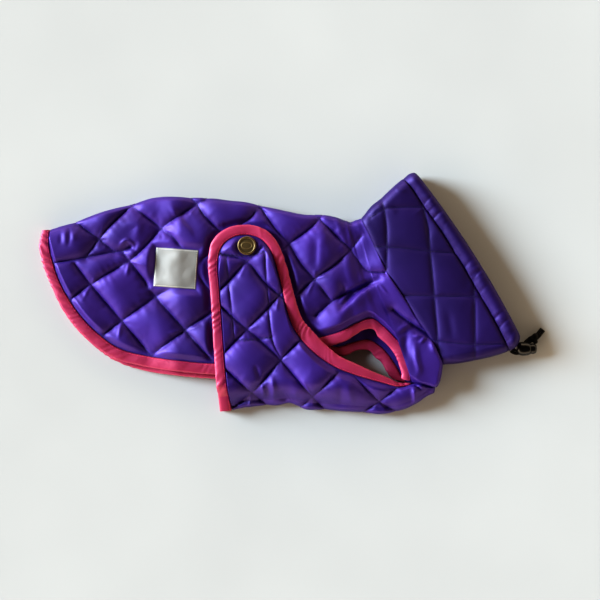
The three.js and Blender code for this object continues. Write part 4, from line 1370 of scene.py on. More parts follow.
@dataclass
class BackPanel(FoldedPanel):
    """The quilted back, folded along the spine, with its rump dart.

    The padding is calm where the cloth is pulled flat below the neck.
    """

    throat_row: float = 24.1
    throat_radius: float = 8.5
    dart_depth: float = -1.3
    dart_reach: float = 3.2
    calm_place: tuple[float, float] = (95.0, 50.0)
    calm_reach: tuple[float, float] = (17.0, 32.0)
    calm_height: float = 0.4
    calm_share: float = 0.8
    under_flap: float = 0.2

    def left_height(self, row: Columns) -> Array:
        """Returns the lift of the left layer."""
        return row["lift"]

    def right_height(self, row: Columns, s: Array) -> Array:
        """Returns the right layer's height, the same all along a row."""
        return np.broadcast_to((row["lift"] + WALL + row["gap"])[:, None], s.shape)

    def relief(self, x: Array, y: Array) -> Array:
        """Returns the relief, flat under the flap and under the label."""
        rise = super().relief(x, y)
        dart, _ = measure(curve(DART_LINE), x, y)
        rise = mix(self.dart_depth, rise, 1.0 - np.exp(-np.abs(dart) / self.dart_reach))
        calm = bell(x - self.calm_place[0], self.calm_reach[0])
        calm = calm * bell(y - self.calm_place[1], self.calm_reach[1])
        rise = mix(rise, self.calm_height, self.calm_share * calm)
        beside = outside_distance(FLAP_OUTLINE, x, y)
        rise = mix(np.minimum(rise, self.under_flap), rise, smooth(1.0, 9.0, beside))
        return mix(LABEL.seat, rise, smooth(-1.0, 9.0, LABEL.beyond(x, y)))

    def close(self, walls: Walls, u: Array, s: Array, length: Array) -> None:
        """Closes the throat fold and rounds the edge at the neck seam."""
        at_throat = smooth(self.throat_row, self.throat_row + 0.8, u)[:, None]
        walls.close_up(np.clip(1.0 - (length - s) / self.throat_radius, 0.0, 1.0) * at_throat)
        walls.round_rows(2.6, False, True, 0.5)


@dataclass
class BellyPanel(FoldedPanel):
    """The quilted belly panel, whose right layer is the flap that wraps over the side.

    Fullness is how much rounder than its wall the flap climbs from the fold.
    """

    fullness: float = 0.85
    patch_depth: float = 0.32
    patch_reach: float = 1.6
    rear_radius: float = 3.0
    tip_radius: float = 6.0
    throat_rows: tuple[float, float] = (22.4, 23.4)
    throat_draw: float = 1.6
    tip_rows: tuple[float, float] = (24.6, 26.0)
    tip_draw: float = 2.4

    def left_height(self, row: Columns) -> Array:
        """Returns 0, because the left layer lies on the ground."""
        return np.zeros(len(row["rise"]))

    def right_height(self, row: Columns, s: Array) -> Array:
        """Returns the right layer's height, which climbs from the fold on to the back panel."""
        flat = WALL + LAYER_GAP
        return mix(flat, row["rise"][:, None], smooth(flat, flat + FLAP_SLOPE, s))

    def crown(self, row: Columns, s: Array) -> Array:
        """Returns the swell that rounds the climb from the fold."""
        t = np.clip((s - WALL - LAYER_GAP) / FLAP_SLOPE, 0.0, 1.0)
        climb = (row["rise"] - WALL - LAYER_GAP)[:, None]
        return climb * self.fullness * (1.0 - (1.0 - t) ** 2 - smooth(0.0, 1.0, t))

    def relief(self, x: Array, y: Array) -> Array:
        """Returns the relief, flat under the stud and drawn in along the stitched patch."""
        rise = super().relief(x, y)
        for points in PATCH_SIDES + PATCH_ENDS:
            distance, _ = measure(curve(points), x, y)
            held = self.patch_depth * np.exp(-np.abs(distance) / self.patch_reach)
            rise = mix(self.quilting.floor, rise, 1.0 - held)
        from_stud = np.hypot(x - STUD_PLACE[0], y - STUD_PLACE[1]) - STUD_RADIUS
        return mix(0.0, rise, smooth(-1.0, 7.0, from_stud))

    def close(self, walls: Walls, u: Array, s: Array, length: Array) -> None:
        """Rounds the rear edge, and closes the end at the throat and sews it to the back panel."""
        walls.round_rows(self.rear_radius, True, False)
        near = 1.0 - smooth(0.0, self.bound_reach, length - s)
        for face in (walls.outer, walls.inner):
            face[..., 1] += self.throat_draw * smooth(*self.throat_rows, u)[:, None] * near
            face[..., 0] += self.tip_draw * smooth(*self.tip_rows, u)[:, None]
        way = walls.way_down()
        walls.close_up(np.clip(1.0 - (way[-1] - way) / self.tip_radius, 0.0, 1.0)[:, None])


@dataclass
class Binding:
    """Bias tape folded round the raw edge of one layer, with the diagonal creases of its twist.

    Start holds the inner and outer corner of the tape's first end. Drift is how unevenly the
    creases follow each other, and their slant is against the tape's way. Square holds the
    powers that make the tape's section fuller than an oval, across and upwards.
    """

    name: str
    rows: Columns
    end: float
    start: tuple[float, float, float, float]
    side: Side
    bottoms: "BindingHeights"
    seed: int
    crease: float = 0.85
    crease_pitch: float = 9.5
    crease_slant: float = 0.95
    crease_drift: float = 3.4
    swell: float = 0.25
    sunk: float = 0.35
    thin_edge: float = 0.86
    square: tuple[float, float] = (0.8, 0.62)
    most_gap: float = 0.12
    edge_share: float = 0.7
    around: int = 24

    def edges(self) -> tuple[Array, Array, Array, Array]:
        """Returns the tape's inner and outer edges, its underside's height and its way along."""
        u = even_stations(self.rows, ("in", "out"), 1.0, self.end)
        row = row_at(self.rows, u)
        slip = np.stack([row["slipX"], row["slipY"]], axis=1) * (self.side is Side.LEFT)
        inner = np.stack([row["inX"], row["inY"]], axis=1) + slip
        outer = np.stack([row["outX"], row["outY"]], axis=1) + slip
        bottom = self.bottoms.of(row, inner, self.side)
        steps = max(2, round(math.hypot(self.start[0] - inner[0, 0], self.start[1] - inner[0, 1])))
        t = np.linspace(0.0, 1.0, steps, endpoint=False)[:, None]
        lead_in = mix(np.array(self.start[:2])[None, :], inner[:1], t)
        lead_out = mix(np.array(self.start[2:])[None, :], outer[:1], t)
        first = self.bottoms.first(row, inner, self.side)
        lead_z = mix(first, bottom[0], t[:, 0])
        inner = np.vstack([lead_in, inner])
        outer = np.vstack([lead_out, outer])
        bottom = np.concatenate([lead_z, bottom])
        return inner, outer, bottom, way_along((inner + outer) / 2)

    def build(self, finish: Material) -> Object:
        """Makes the tape's mesh, a closed flattened tube.

        Args:
            finish: The tape's material.

        Returns:
            The mesh object.
        """
        inner, outer, bottom, way = self.edges()
        width = np.linalg.norm(outer - inner, axis=1)[:, None]
        gap = np.minimum(self.most_gap, SEAM_GAP / width)
        angle = np.linspace(0.0, 2.0 * math.pi, self.around, endpoint=False)[None, :]
        c, s = np.cos(angle), np.sin(angle)
        across = 0.5 - 0.5 * np.sign(c) * np.abs(c) ** self.square[0]
        across = mix(gap, 1.0, across)
        half = BAND_THICK / 2
        body = np.sign(s) * np.abs(s) ** self.square[1]
        taper = mix(1.0, self.thin_edge, across) if self.side is Side.RIGHT else 1.0
        rise = half * body * taper
        crease = self.creases(way[:, None], across * width)
        top = np.clip(s, 0.0, 1.0) ** 0.5
        swell = self.swell * waves(way[:, None], across * width, 30.0, self.seed + 5)
        rise = rise + top * (crease + swell - self.sunk)
        edge = smooth(0.75, 1.0, across) * (crease * self.edge_share)
        flat = mix(inner[:, None], outer[:, None], across[..., None])
        flat = flat + ((outer - inner) / width)[:, None] * edge[..., None]
        rings = np.dstack([flat, bottom[:, None] + half + rise])
        quads, caps = ring_faces(*rings.shape[:2])
        return mesh_object(self.name, PLAN.metres(rings), quads, caps, finish, 70.0)

    def creases(self, along: Array, across: Array) -> Array:
        """Returns the height of the slanting creases at points of the tape."""
        drift = self.crease_drift * waves(along, across * 0.3, 34.0, self.seed)
        slanted = along + self.crease_slant * across
        phase = 2.0 * math.pi * slanted / self.crease_pitch + drift
        ridge = np.sin(phase)
        ridge = np.sign(ridge) * np.abs(ridge) ** 1.4
        strength = np.clip(0.42 + 0.75 * waves(along, along * 0.0, 55.0, self.seed + 1), 0.05, 1.4)
        fine = 0.22 * np.sin(phase * 2.3 + 1.0)
        return self.crease * strength * 0.5 * (ridge + fine)


class BindingHeights:
    """How high the binding of a panel lies."""

    def __init__(self, belly: bool) -> None:
        """Takes whether the binding is the belly panel's."""
        self.belly = belly

    def of(self, row: Columns, inner: Array, side: Side) -> Array:
        """Returns the height of the tape's underside for each row."""
        if self.belly:
            if side is Side.LEFT:
                return np.zeros(len(inner))
            s = np.hypot(inner[:, 0] - row["foldX"], inner[:, 1] - row["foldY"])
            flat = WALL + LAYER_GAP
            return mix(flat, row["rise"], smooth(flat, flat + FLAP_SLOPE, s)) - BAND_PROUD_BELOW
        if side is Side.LEFT:
            return row["lift"]
        return row["lift"] + WALL + row["gap"] - BAND_PROUD_BELOW

    def first(self, row: Columns, inner: Array, side: Side) -> float:
        """Returns the height of the tape's underside at its very start."""
        if self.belly and side is Side.RIGHT:
            return WALL + LAYER_GAP - BAND_PROUD_BELOW
        return float(self.of(row, inner, side)[0])


@dataclass
class Tube:
    """A tube of cloth that lies flat, with its right side on top.

    A ring runs down the right side, round the throat fold, back along the left side underneath
    and round the back fold. The lap is how far the first ring lies over what it is sewn to.
    """

    name: str
    rings: Columns
    wall: float
    right_columns: int
    pitch: float = GRID_PITCH
    left_columns: int = 30
    nose_columns: int = 12
    lap: float = 1.8
    lap_rings: float = 0.4
    tight_fold: float = 0.7

    def last(self) -> int:
        """Returns the number of the last ring."""
        return len(self.rings["gap"]) - 1

    def relief(self, x: Array, y: Array, s: Array, u: Array) -> Array:
        """Returns the relief of the right side."""
        raise NotImplementedError

    def sag(self, u: Array) -> Array:
        """Returns how much higher than its rings' table the tube lies, less where it sags."""
        return np.zeros(u.shape)

    def pressed(self, x: Array, y: Array) -> Array:
        """Returns how far the stitch lines are drawn up underneath."""
        return np.zeros(x.shape)

    def shape_ends(self, walls: Walls) -> None:
        """Rounds the tube's two ends."""
        walls.round_rows(2.4, True, True, 0.8)

    def walls(self) -> Walls:
        """Returns both faces of the tube."""
        u = even_stations(self.rings, ("top", "low"), self.pitch)
        row = row_at(self.rings, u)
        top = np.stack([row["topX"], row["topY"]], axis=1)
        low = np.stack([row["lowX"], row["lowY"]], axis=1)
        length = np.linalg.norm(low - top, axis=1)[:, None]
        along = (low - top) / length
        ahead = np.stack([-along[:, 1], along[:, 0]], axis=1)
        height = (2 * self.wall + row["gap"] + self.sag(u))[:, None]
        half = height / 2
        nose = np.minimum(half, COLLAR_NOSE)

        def place(s: Array) -> tuple[Array, Array]:
            """Returns the plan points at the distances s down each ring."""
            bow = row["bow"][:, None] * 4.0 * (s / length) * (1.0 - s / length)
            bow = bow - self.lap * (1.0 - smooth(0.0, self.lap_rings, u))[:, None]
            x = top[:, :1] + along[:, :1] * s + ahead[:, :1] * bow
            y = top[:, 1:] + along[:, 1:] * s + ahead[:, 1:] * bow
            return x, y

        s = mix(nose, length - nose, np.linspace(0.0, 1.0, self.right_columns + 1)[None, :])
        x, y = place(s)
        upper_outer = np.dstack([x, y, height + self.relief(x, y, s, u[:, None])])
        upper_inner = np.dstack([x, y, np.broadcast_to(height - self.wall, s.shape)])
        throat_outer, throat_inner = self.bend(place, length - nose, nose, half, 90.0, u)
        s = mix(nose, length - nose, np.linspace(1.0, 0.0, self.left_columns + 1)[None, :])
        x, y = place(s)
        fade = smooth(0.0, 8.0, np.minimum(s - nose, length - nose - s))
        lower_outer = np.dstack([x, y, self.pressed(x, y) * fade])
        lower_inner = np.dstack([x, y, np.full(s.shape, self.wall)])
        back_outer, back_inner = self.bend(place, nose, nose, half, -90.0, u)
        outer = np.concatenate([upper_outer, throat_outer, lower_outer, back_outer], axis=1)
        inner = np.concatenate([upper_inner, throat_inner, lower_inner, back_inner], axis=1)
        walls = Walls(outer, inner, True)
        self.shape_ends(walls)
        return walls

    def bend(self, place: Callable[[Array], tuple[Array, Array]], centre: Array, nose: Array,
             half: Array, start: float, u: Array) -> tuple[Array, Array]:
        """Bends the cloth round one fold.

        Args:
            place: Gives plan points at distances down the rings.
            centre: Where the fold's middle lies down each ring.
            nose: How far the fold reaches past it.
            half: Half the tube's height.
            start: The angle at which the fold starts, in degrees.
            u: The rings' running numbers.

        Returns:
            The outer and inner points.
        """
        share = np.arange(1, self.nose_columns) / self.nose_columns
        angle = np.radians(start - 180.0 * share)[None, :]
        c, s = np.cos(angle), np.sin(angle)
        down = centre + nose * c
        x, y = place(down)
        rise = self.relief(x, y, down, u[:, None]) * np.clip(mix(0.25, 1.0, s), 0.0, 1.0)
        rise = rise * smooth(-0.9, 0.2, s)
        x, y = place(centre + (nose + 0.5 * rise - self.tight_fold) * c)
        outer = np.dstack([x, y, np.maximum(half + (half + rise) * s, 0.0)])
        x, y = place(centre + (nose - self.wall) * c)
        inner = np.dstack([x, y, half + (half - self.wall) * s])
        return outer, inner

    def build(self, finish: Material) -> Object:
        """Makes the tube's mesh."""
        points, quads, many = self.walls().faces(4)
        return mesh_object(self.name, PLAN.metres(points), quads, many, finish)


COLLAR_QUILTING = Quilting(
    COLLAR_LINES, 2.8, -1.5, pinch=2.0, steep=0.6, pucker=0.04,
    creases=Puckers(height=0.35, count=3), seed=41,
)


@dataclass
class Collar(Tube):
    """The quilted funnel collar.

    It is fuller at the neck seam than its table says, and sags towards the mouth.
    """

    quilting: Quilting = COLLAR_QUILTING
    unevenness: float = 0.12
    seam_depth: float = -1.6
    full: float = 5.0
    sunk: float = -8.0

    def relief(self, x: Array, y: Array, s: Array, u: Array) -> Array:
        """Returns the padding, drawn in at the neck seam and at the casing."""
        rise = self.quilting.lift(x, y)
        for fold in COLLAR_FOLDS:
            rise = rise + fold.lift(x, y)
        rise = rise + self.unevenness * waves(x, y, 60.0, 52)
        seam = smooth(-0.1, 0.4, u) * smooth(-0.1, 0.4, self.last() - u)
        return mix(self.seam_depth, rise, np.broadcast_to(seam, rise.shape) ** 0.6)

    def sag(self, u: Array) -> Array:
        """Returns the rise at the neck and the sag towards the mouth."""
        return mix(self.full, self.sunk, u / self.last())

    def pressed(self, x: Array, y: Array) -> Array:
        """Returns how far the stitch lines are drawn up underneath."""
        return self.quilting.drawn_up(x, y)


@dataclass
class Casing(Tube):
    """The drawstring casing at the mouth, gathered unevenly on its cord."""

    gather: float = 1.1
    gather_pitch: float = 15.0
    gather_drift: float = 2.6
    fine_gather: float = 0.2
    swell: float = 3.0
    seam_depth: float = -1.2
    sunk_seam: float = -7.6
    sunk_mouth: float = -6.4

    def relief(self, x: Array, y: Array, s: Array, u: Array) -> Array:
        """Returns the swell of the casing and its gathers."""
        share = np.broadcast_to(u / self.last(), x.shape)
        swell = np.sin(math.pi * np.clip(share, 0.0, 1.0)) ** 0.7
        drift = self.gather_drift * waves(s, share * 0.0, 55.0, 71)
        phase = 2.0 * math.pi * (s + 5.0 * share) / self.gather_pitch + drift
        pleat = np.abs(np.sin(phase / 2)) ** 0.6
        uneven = np.clip(0.6 + 0.5 * waves(s, share * 0.0, 40.0, 72), 0.1, 1.3)
        fine = self.fine_gather * waves(s, share * 9.0, 8.0, 73)
        near_seam = mix(1.0, 0.45, share)
        pull = self.gather * uneven * near_seam * (pleat - 0.75)
        return self.swell * swell + self.seam_depth + pull + fine * uneven

    def sag(self, u: Array) -> Array:
        """Returns the sag of the mouth."""
        return mix(self.sunk_seam, self.sunk_mouth, u / self.last())

    def shape_ends(self, walls: Walls) -> None:
        """Rounds the seam edge and the mouth."""
        walls.round_rows(2.0, True, False, 0.8)
        walls.round_rows(4.5, False, True)


def label_piece(skin: Skin, finish: Material) -> Object:
    """Makes the woven label, which follows the cloth that it is sewn on.

    Args:
        skin: The back panel's surface.
        finish: The label's material.

    Returns:
        The label's mesh object.
    """
    columns, rows = 48, 44
    u, v = np.meshgrid(
        np.linspace(-0.5, 0.5, rows + 1), np.linspace(-0.5, 0.5, columns + 1), indexing="ij",
    )
    dx, dy = v * LABEL.width, u * LABEL.height
    ruffle = LABEL.ruffle * waves(dx, dy, 22.0, 91)
    x, y = LABEL.turned(dx, dy)
    flat = PLAN.metres(np.dstack([x, y, np.zeros(x.shape)]))
    low = np.zeros(len(flat))
    for i, (px, py, _) in enumerate(flat):
        hit = skin.drop(px, py)
        low[i] = hit[0].z if hit else low[i - 1]
    low = low.reshape(x.shape)
    for _ in range(3):
        padded = np.pad(low, 1, mode="edge")
        upright = padded[:-2, 1:-1] + padded[2:, 1:-1]
        low = np.maximum(low, (upright + padded[1:-1, :-2] + padded[1:-1, 2:]) / 4)
    edge = np.minimum(0.5 - np.abs(u), 0.5 - np.abs(v)) * LABEL.height
    lift = LABEL.lift + np.clip(ruffle, -0.1, 0.5) * MM * smooth(0.0, 6.0, edge)
    sewn = smooth(0.0, LABEL.sewn_reach, edge) * MM * LABEL.thick
    bottom = flat.reshape(*x.shape, 3).copy()
    bottom[..., 2] = low + lift
    top = bottom.copy()
    top[..., 2] += np.maximum(sewn, 0.25 * MM * LABEL.thick)
    points, quads, many = Walls(top, bottom).faces(1)
    return mesh_object("woven_label", points, quads, many, finish, 80.0)


@dataclass
class StudCap:
    """The snap stud's cap: a domed cap with a rolled rim, an oval ring and a stippled field.

    Rim, groove, bead ring and worn edge each hold their place and width, as shares of the
    radius. The oval's half sizes and its band's width are such shares too, and the skirt holds
    the shares of the height where the cap comes down to the cloth.
    """

    radius: float = STUD_RADIUS
    height: float = 3.5
    oval: tuple[float, float] = (0.56, 0.34)
    oval_band: float = 0.09
    rim: tuple[float, float] = (0.88, 0.075)
    groove: tuple[float, float] = (0.70, 0.03)
    bead_ring: tuple[float, float] = (0.79, 0.035)
    worn_edge: tuple[float, float] = (0.93, 0.03)
    stipples: float = 5.2
    skirt: tuple[float, float, float] = (0.55, 0.22, 0.0)
    beads: int = 36
    rings: int = 30
    spokes: int = 96

    def build(self, finish: Material) -> Object:
        """Makes the cap's mesh, with its wear kept as an attribute.

        Args:
            finish: The cap's material.

        Returns:
            The mesh object.
        """
        low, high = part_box("stud_cap")
        base = low[2]
        centre = ((low[0] + high[0]) / 2, (low[1] + high[1]) / 2)
        share = np.concatenate([np.linspace(0.0, 0.98, self.rings), [1.0, 1.0, 0.96]])[:, None]
        angle = np.linspace(0.0, 2.0 * math.pi, self.spokes, endpoint=False)[None, :]
        x = share * self.radius * np.cos(angle)
        y = share * self.radius * np.sin(angle)
        places = (self.rim, self.groove, self.bead_ring, self.worn_edge)
        ring, inner_ring, beaded, edge = (bell(share - at, width) for at, width in places)
        oval = np.hypot(x / self.oval[0], y / self.oval[1]) / self.radius
        band = bell(oval - 1.0, self.oval_band)
        beads = (0.5 + 0.5 * np.cos(angle * self.beads)) * beaded
        stipple = np.sin(x * self.stipples) * np.sin(y * self.stipples) * (oval < 0.9)
        dome = 0.58 + 0.16 * np.cos(share * math.pi / 2)
        worn = 0.34 + 0.25 * edge + 0.4 * band + 0.35 * beads - 0.3 * inner_ring + 0.2 * stipple
        worn = np.clip(worn - 0.3 * ring, 0.0, 1.0)
        top = self.height * (dome + 0.26 * ring + 0.05 * inner_ring + 0.10 * band + 0.07 * beads)
        top = top + 0.05 * stipple
        top[-len(self.skirt):] = self.height * np.array(self.skirt)[:, None]
        points = np.dstack([x, y, top]).reshape(-1, 3) * MM
        points += np.array([centre[0], centre[1], base])
        quads = grid_faces(len(share), self.spokes, 0, True)
        last = (len(share) - 1) * self.spokes
        many = [[last + i for i in range(self.spokes)][::-1]]
        piece = mesh_object("stud_cap_dressed", points, quads, many, finish, 75.0)
        mark = piece.data.attributes.new("worn", "FLOAT", "POINT")
        mark.data.foreach_set("value", worn.reshape(-1).astype(np.float32))
        return piece


@dataclass
class Drawcord:
    """The doubled drawstring, whose strands lie on either side of one way.

    The tail holds the shares of the radius over the last few points, where the braid frays.
    """

    sides: int = 14
    fullness: float = 1.08
    first: float = 0.72
    tail: tuple[float, ...] = (1.04, 1.12, 1.15, 0.95)

    def centre_line(self, sideways: float) -> Array:
        """Returns one strand's way in the frame, in metres."""
        middle = curve(CORD_ROUTE, 8)
        middle[:, :2] += sideways_of(middle) * sideways
        return PLAN.metres(middle, cloth=False)

    def strand(self, name: str, sideways: float,
               finish: Material) -> tuple[Object, Array]:
        """Makes one strand as a round tube with a map along and around it.

        Args:
            name: The strand's name.
            sideways: How far it lies to the left of the way, in millimetres.
            finish: The cord's material.

        Returns:
            The mesh object and the strand's centre line, in metres.
        """
        line = self.centre_line(sideways)
        taper = np.ones(len(line))
        taper[0] = self.first
        taper[-len(self.tail):] = self.tail
        radius = CORD_DIAMETER / 2 * MM * self.fullness * taper[:, None, None]
        rings = cord_rings(line, np.gradient(line, axis=0), radius, self.sides)
        quads, caps = ring_faces(len(line), self.sides)
        piece = mesh_object(name, rings.reshape(-1, 3), quads, caps, finish, 60.0)
        braid_map(piece, way_along(line), self.sides)
        return piece, line


@dataclass(frozen=True)
class Turned:
    """A round piece turned along X: shares of the radius against shares of the length."""

    name: str
    node: str
    profile: tuple[tuple[float, float], ...]
    sides: int = 48

    def build(self, finish: Material) -> Object:
        """Makes the piece in the box of the node that it replaces.

        Args:
            finish: The piece's material.

        Returns:
            The mesh object.
        """
        low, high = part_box(self.node)
        radius = (high[1] - low[1]) / 2
        length = high[0] - low[0]
        middle = np.array([low[0], (low[1] + high[1]) / 2, (low[2] + high[2]) / 2])
        line = curve(self.profile, 6)
        angle = np.linspace(0.0, 2.0 * math.pi, self.sides, endpoint=False)[None, :]
        r = np.clip(line[:, 1:2], 0.01, 1.0) * radius
        x = np.broadcast_to(np.clip(line[:, :1], 0.0, 1.0) * length, (len(line), self.sides))
        rings = np.dstack([x, r * np.cos(angle), r * np.sin(angle)])
        quads, caps = ring_faces(len(line), self.sides)
        return mesh_object(self.name, rings.reshape(-1, 3) + middle, quads, caps, finish, 50.0)


BARREL = Turned(
    "cord_lock_barrel_dressed", "cord_lock_barrel",
    ((0.0, 0.05), (0.0, 0.56), (0.06, 0.74), (0.22, 0.93), (0.5, 1.0), (0.74, 0.96), (0.9, 0.88),
     (0.97, 0.80), (1.0, 0.72), (1.0, 0.05)),
)
BUTTON = Turned(
    "cord_lock_button_dressed", "cord_lock_button",
    ((0.0, 0.05), (0.0, 0.86), (0.08, 0.95), (0.32, 1.0), (0.62, 0.95), (0.82, 0.84), (0.95, 0.64),
     (1.0, 0.4), (1.0, 0.05)),
)


def knot_piece(finish: Material) -> Object:
    """Makes the stopper knot, a turn of cord round the two strands.

    Args:
        finish: The cord's material.

    Returns:
        The knot's mesh object.
    """
    low, high = (np.array(corner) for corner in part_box("cord_knot"))
    centre = (low + high) / 2
    size = (high - low) / 2
    steps, sides = 72, 12
    spread, loops, lean = 0.62 / 1.25, 0.42, math.radians(32.0)
    radius, step, ground = 0.0026, 0.0008, 0.0001
    t = np.linspace(0.0, 2.0 * math.pi, steps, endpoint=False)
    line = np.stack([
        size[0] * spread * (np.sin(t) + loops * np.sin(2 * t)),
        size[1] * spread * (np.cos(t) - loops * np.cos(2 * t)),
        -size[2] * loops * np.sin(3 * t),
    ], axis=1)
    c, s = math.cos(lean), math.sin(lean)
    line = line @ np.array([[c, s, 0], [-s, c, 0], [0, 0, 1]]) + centre
    tangent = np.roll(line, -1, axis=0) - np.roll(line, 1, axis=0)
    points = cord_rings(line, tangent, radius, sides).reshape(-1, 3)
    points[:, 2] = np.maximum(points[:, 2], ground)
    quads = grid_faces(steps + 1, sides, 0, True) % (steps * sides)
    piece = mesh_object("stopper_knot", points, quads, [], finish, 60.0)
    braid_map(piece, np.arange(steps) * step, sides)
    return piece


class StitchNodes:
    """Geometry Nodes that lay arched stitches of thread along curves.

    Sink and crown are how high a stitch's ends and its middle lie, in radii of its thread.
    Thin and thick are the least and greatest share of the full size that a stitch may have.
    """

    sink: float = -1.1
    crown: float = 1.6
    thin: tuple[float, float, float] = (0.86, 0.9, 0.8)
    thick: tuple[float, float, float] = (1.08, 1.1, 1.1)
    seed: int = 7

    def __init__(self) -> None:
        """Builds the tree once."""
        tree = bpy.data.node_groups.new("run of stitches", "GeometryNodeTree")
        tree.is_modifier = True
        sockets = tree.interface
        sockets.new_socket("Geometry", in_out="INPUT", socket_type="NodeSocketGeometry")
        self.names = {}
        for key, value in (("Pitch", 0.0031), ("Stitch Length", 0.0026), ("Thread Radius", 0.00024)):
            made = sockets.new_socket(key, in_out="INPUT", socket_type="NodeSocketFloat")
            made.default_value = value
            self.names[key] = made.identifier
        seed = sockets.new_socket("Seed", in_out="INPUT", socket_type="NodeSocketInt")
        seed.default_value = self.seed
        thread = sockets.new_socket("Thread", in_out="INPUT", socket_type="NodeSocketMaterial")
        self.names["Seed"] = seed.identifier
        self.names["Thread"] = thread.identifier
        sockets.new_socket("Geometry", in_out="OUTPUT", socket_type="NodeSocketGeometry")
        self.tree = tree
        self.connect()

    def connect(self) -> None:
        """Places and links the nodes."""
        nodes, links = self.tree.nodes, self.tree.links
        given, out = nodes.new("NodeGroupInput"), nodes.new("NodeGroupOutput")
        spaced = nodes.new("GeometryNodeResampleCurve")
        spaced.mode = "LENGTH"
        links.new(given.outputs["Geometry"], spaced.inputs["Curve"])
        links.new(given.outputs["Pitch"], spaced.inputs["Length"])
        arch = nodes.new("GeometryNodeCurveQuadraticBezier")
        arch.inputs["Resolution"].default_value = 4
        length, radius = given.outputs["Stitch Length"], given.outputs["Thread Radius"]
        ends = (("Start", -0.5, self.sink), ("Middle", 0.0, self.crown), ("End", 0.5, self.sink))
        for end, along, high in ends:
            point = nodes.new("ShaderNodeCombineXYZ")
            links.new(math_node(self.tree, "MULTIPLY", length, along), point.inputs["X"])
            links.new(math_node(self.tree, "MULTIPLY", radius, high), point.inputs["Z"])
            links.new(point.outputs[0], arch.inputs[end])
        ring = nodes.new("GeometryNodeCurvePrimitiveCircle")
        ring.inputs["Resolution"].default_value = 6
        links.new(given.outputs["Thread Radius"], ring.inputs["Radius"])
        thread = nodes.new("GeometryNodeCurveToMesh")
        thread.inputs["Fill Caps"].default_value = True
        links.new(arch.outputs["Curve"], thread.inputs["Curve"])
        links.new(ring.outputs["Curve"], thread.inputs["Profile Curve"])
        way = nodes.new("GeometryNodeInputTangent")
        turn = nodes.new("FunctionNodeAlignRotationToVector")
        turn.axis = "X"
        links.new(way.outputs[0], turn.inputs["Vector"])
        size = nodes.new("FunctionNodeRandomValue")
        size.data_type = "FLOAT_VECTOR"
        size.inputs["Min"].default_value = self.thin
        size.inputs["Max"].default_value = self.thick
        links.new(given.outputs["Seed"], size.inputs["Seed"])
        placed = nodes.new("GeometryNodeInstanceOnPoints")
        links.new(spaced.outputs["Curve"], placed.inputs["Points"])
        links.new(thread.outputs["Mesh"], placed.inputs["Instance"])
        links.new(turn.outputs["Rotation"], placed.inputs["Rotation"])
        links.new(size.outputs["Value"], placed.inputs["Scale"])
        real = nodes.new("GeometryNodeRealizeInstances")
        links.new(placed.outputs["Instances"], real.inputs["Geometry"])
        dressed = nodes.new("GeometryNodeSetMaterial")
        links.new(real.outputs["Geometry"], dressed.inputs["Geometry"])
        links.new(given.outputs["Thread"], dressed.inputs["Material"])
        links.new(dressed.outputs["Geometry"], out.inputs["Geometry"])

    def lay(self, name: str, runs: list[Array], thread: Material, pitch: float,
            length: float, radius: float) -> Object:
        """Lays stitches along runs of points and returns them as a plain mesh.

        Args:
            name: The piece's name.
            runs: Lines of points, in metres.
            thread: The thread's material.
            pitch: The distance from stitch to stitch.
            length: The length of a stitch.
            radius: The thread's radius.

        Returns:
            The mesh object.
        """
        lines = bpy.data.curves.new(f"{name}_way", "CURVE")
        lines.dimensions = "3D"
        for run in runs:
            spline = lines.splines.new("POLY")
            spline.points.add(len(run) - 1)
            spline.points.foreach_set("co", np.hstack([run, np.ones((len(run), 1))]).ravel())
        holder = bpy.data.objects.new(f"{name}_way", lines)
        bpy.context.scene.collection.objects.link(holder)
        modifier = holder.modifiers.new("stitches", "NODES")
        modifier.node_group = self.tree
        values = {
            "Pitch": pitch, "Stitch Length": length, "Thread Radius": radius,
            "Seed": self.seed, "Thread": thread,
        }
        for key, value in values.items():
            modifier[self.names[key]] = value
        graph = bpy.context.evaluated_depsgraph_get()
        mesh = bpy.data.meshes.new_from_object(holder.evaluated_get(graph), depsgraph=graph)
        mesh.name = name
        if not mesh.materials:
            mesh.materials.append(thread)
        mesh.polygons.foreach_set("use_smooth", np.ones(len(mesh.polygons), dtype=bool))
        piece = bpy.data.objects.new(name, mesh)
        bpy.context.scene.collection.objects.link(piece)
        bpy.data.objects.remove(holder)
        return piece


def runs_on(skin: Skin, line: Array, lift: float, below: bool = False) -> list[Array]:
    """Lays a line of the plan on a piece.

    Args:
        skin: The piece's surface.
        line: The line's points, in millimetres.
        lift: How far over the surface the line runs, in metres.
        below: Whether it runs under the coat.

    Returns:
        One run of points for each stretch that meets the piece.
    """
    shortest, steepest = 5, 0.25
    x, y = even_points(line, max(2, round(way_along(line)[-1])))
    flat = PLAN.metres(np.stack([x, y, np.zeros(len(x))], axis=1))
    runs: list[list[tuple[float, float, float]]] = [[]]
    for px, py, _ in flat:
        hit = skin.drop(px, py, below)
        if hit is None or abs(hit[1].z) < steepest:
            runs.append([])
            continue
        place = hit[0] + hit[1].normalized() * lift
        runs[-1].append((place.x, place.y, max(place.z, STITCH_FLOOR * MM)))
    return [np.array(run) for run in runs if len(run) >= shortest]


def zigzag(line: Array, pitch: float, width: float) -> Array:
    """Returns a zigzag along a line, in millimetres."""
    points = np.stack(even_points(line, max(2, round(way_along(line)[-1] / pitch))), axis=1)
    sign = np.where(np.arange(len(points)) % 2 == 0, 1.0, -1.0)[:, None]
    return points + sideways_of(points) * sign * width / 2


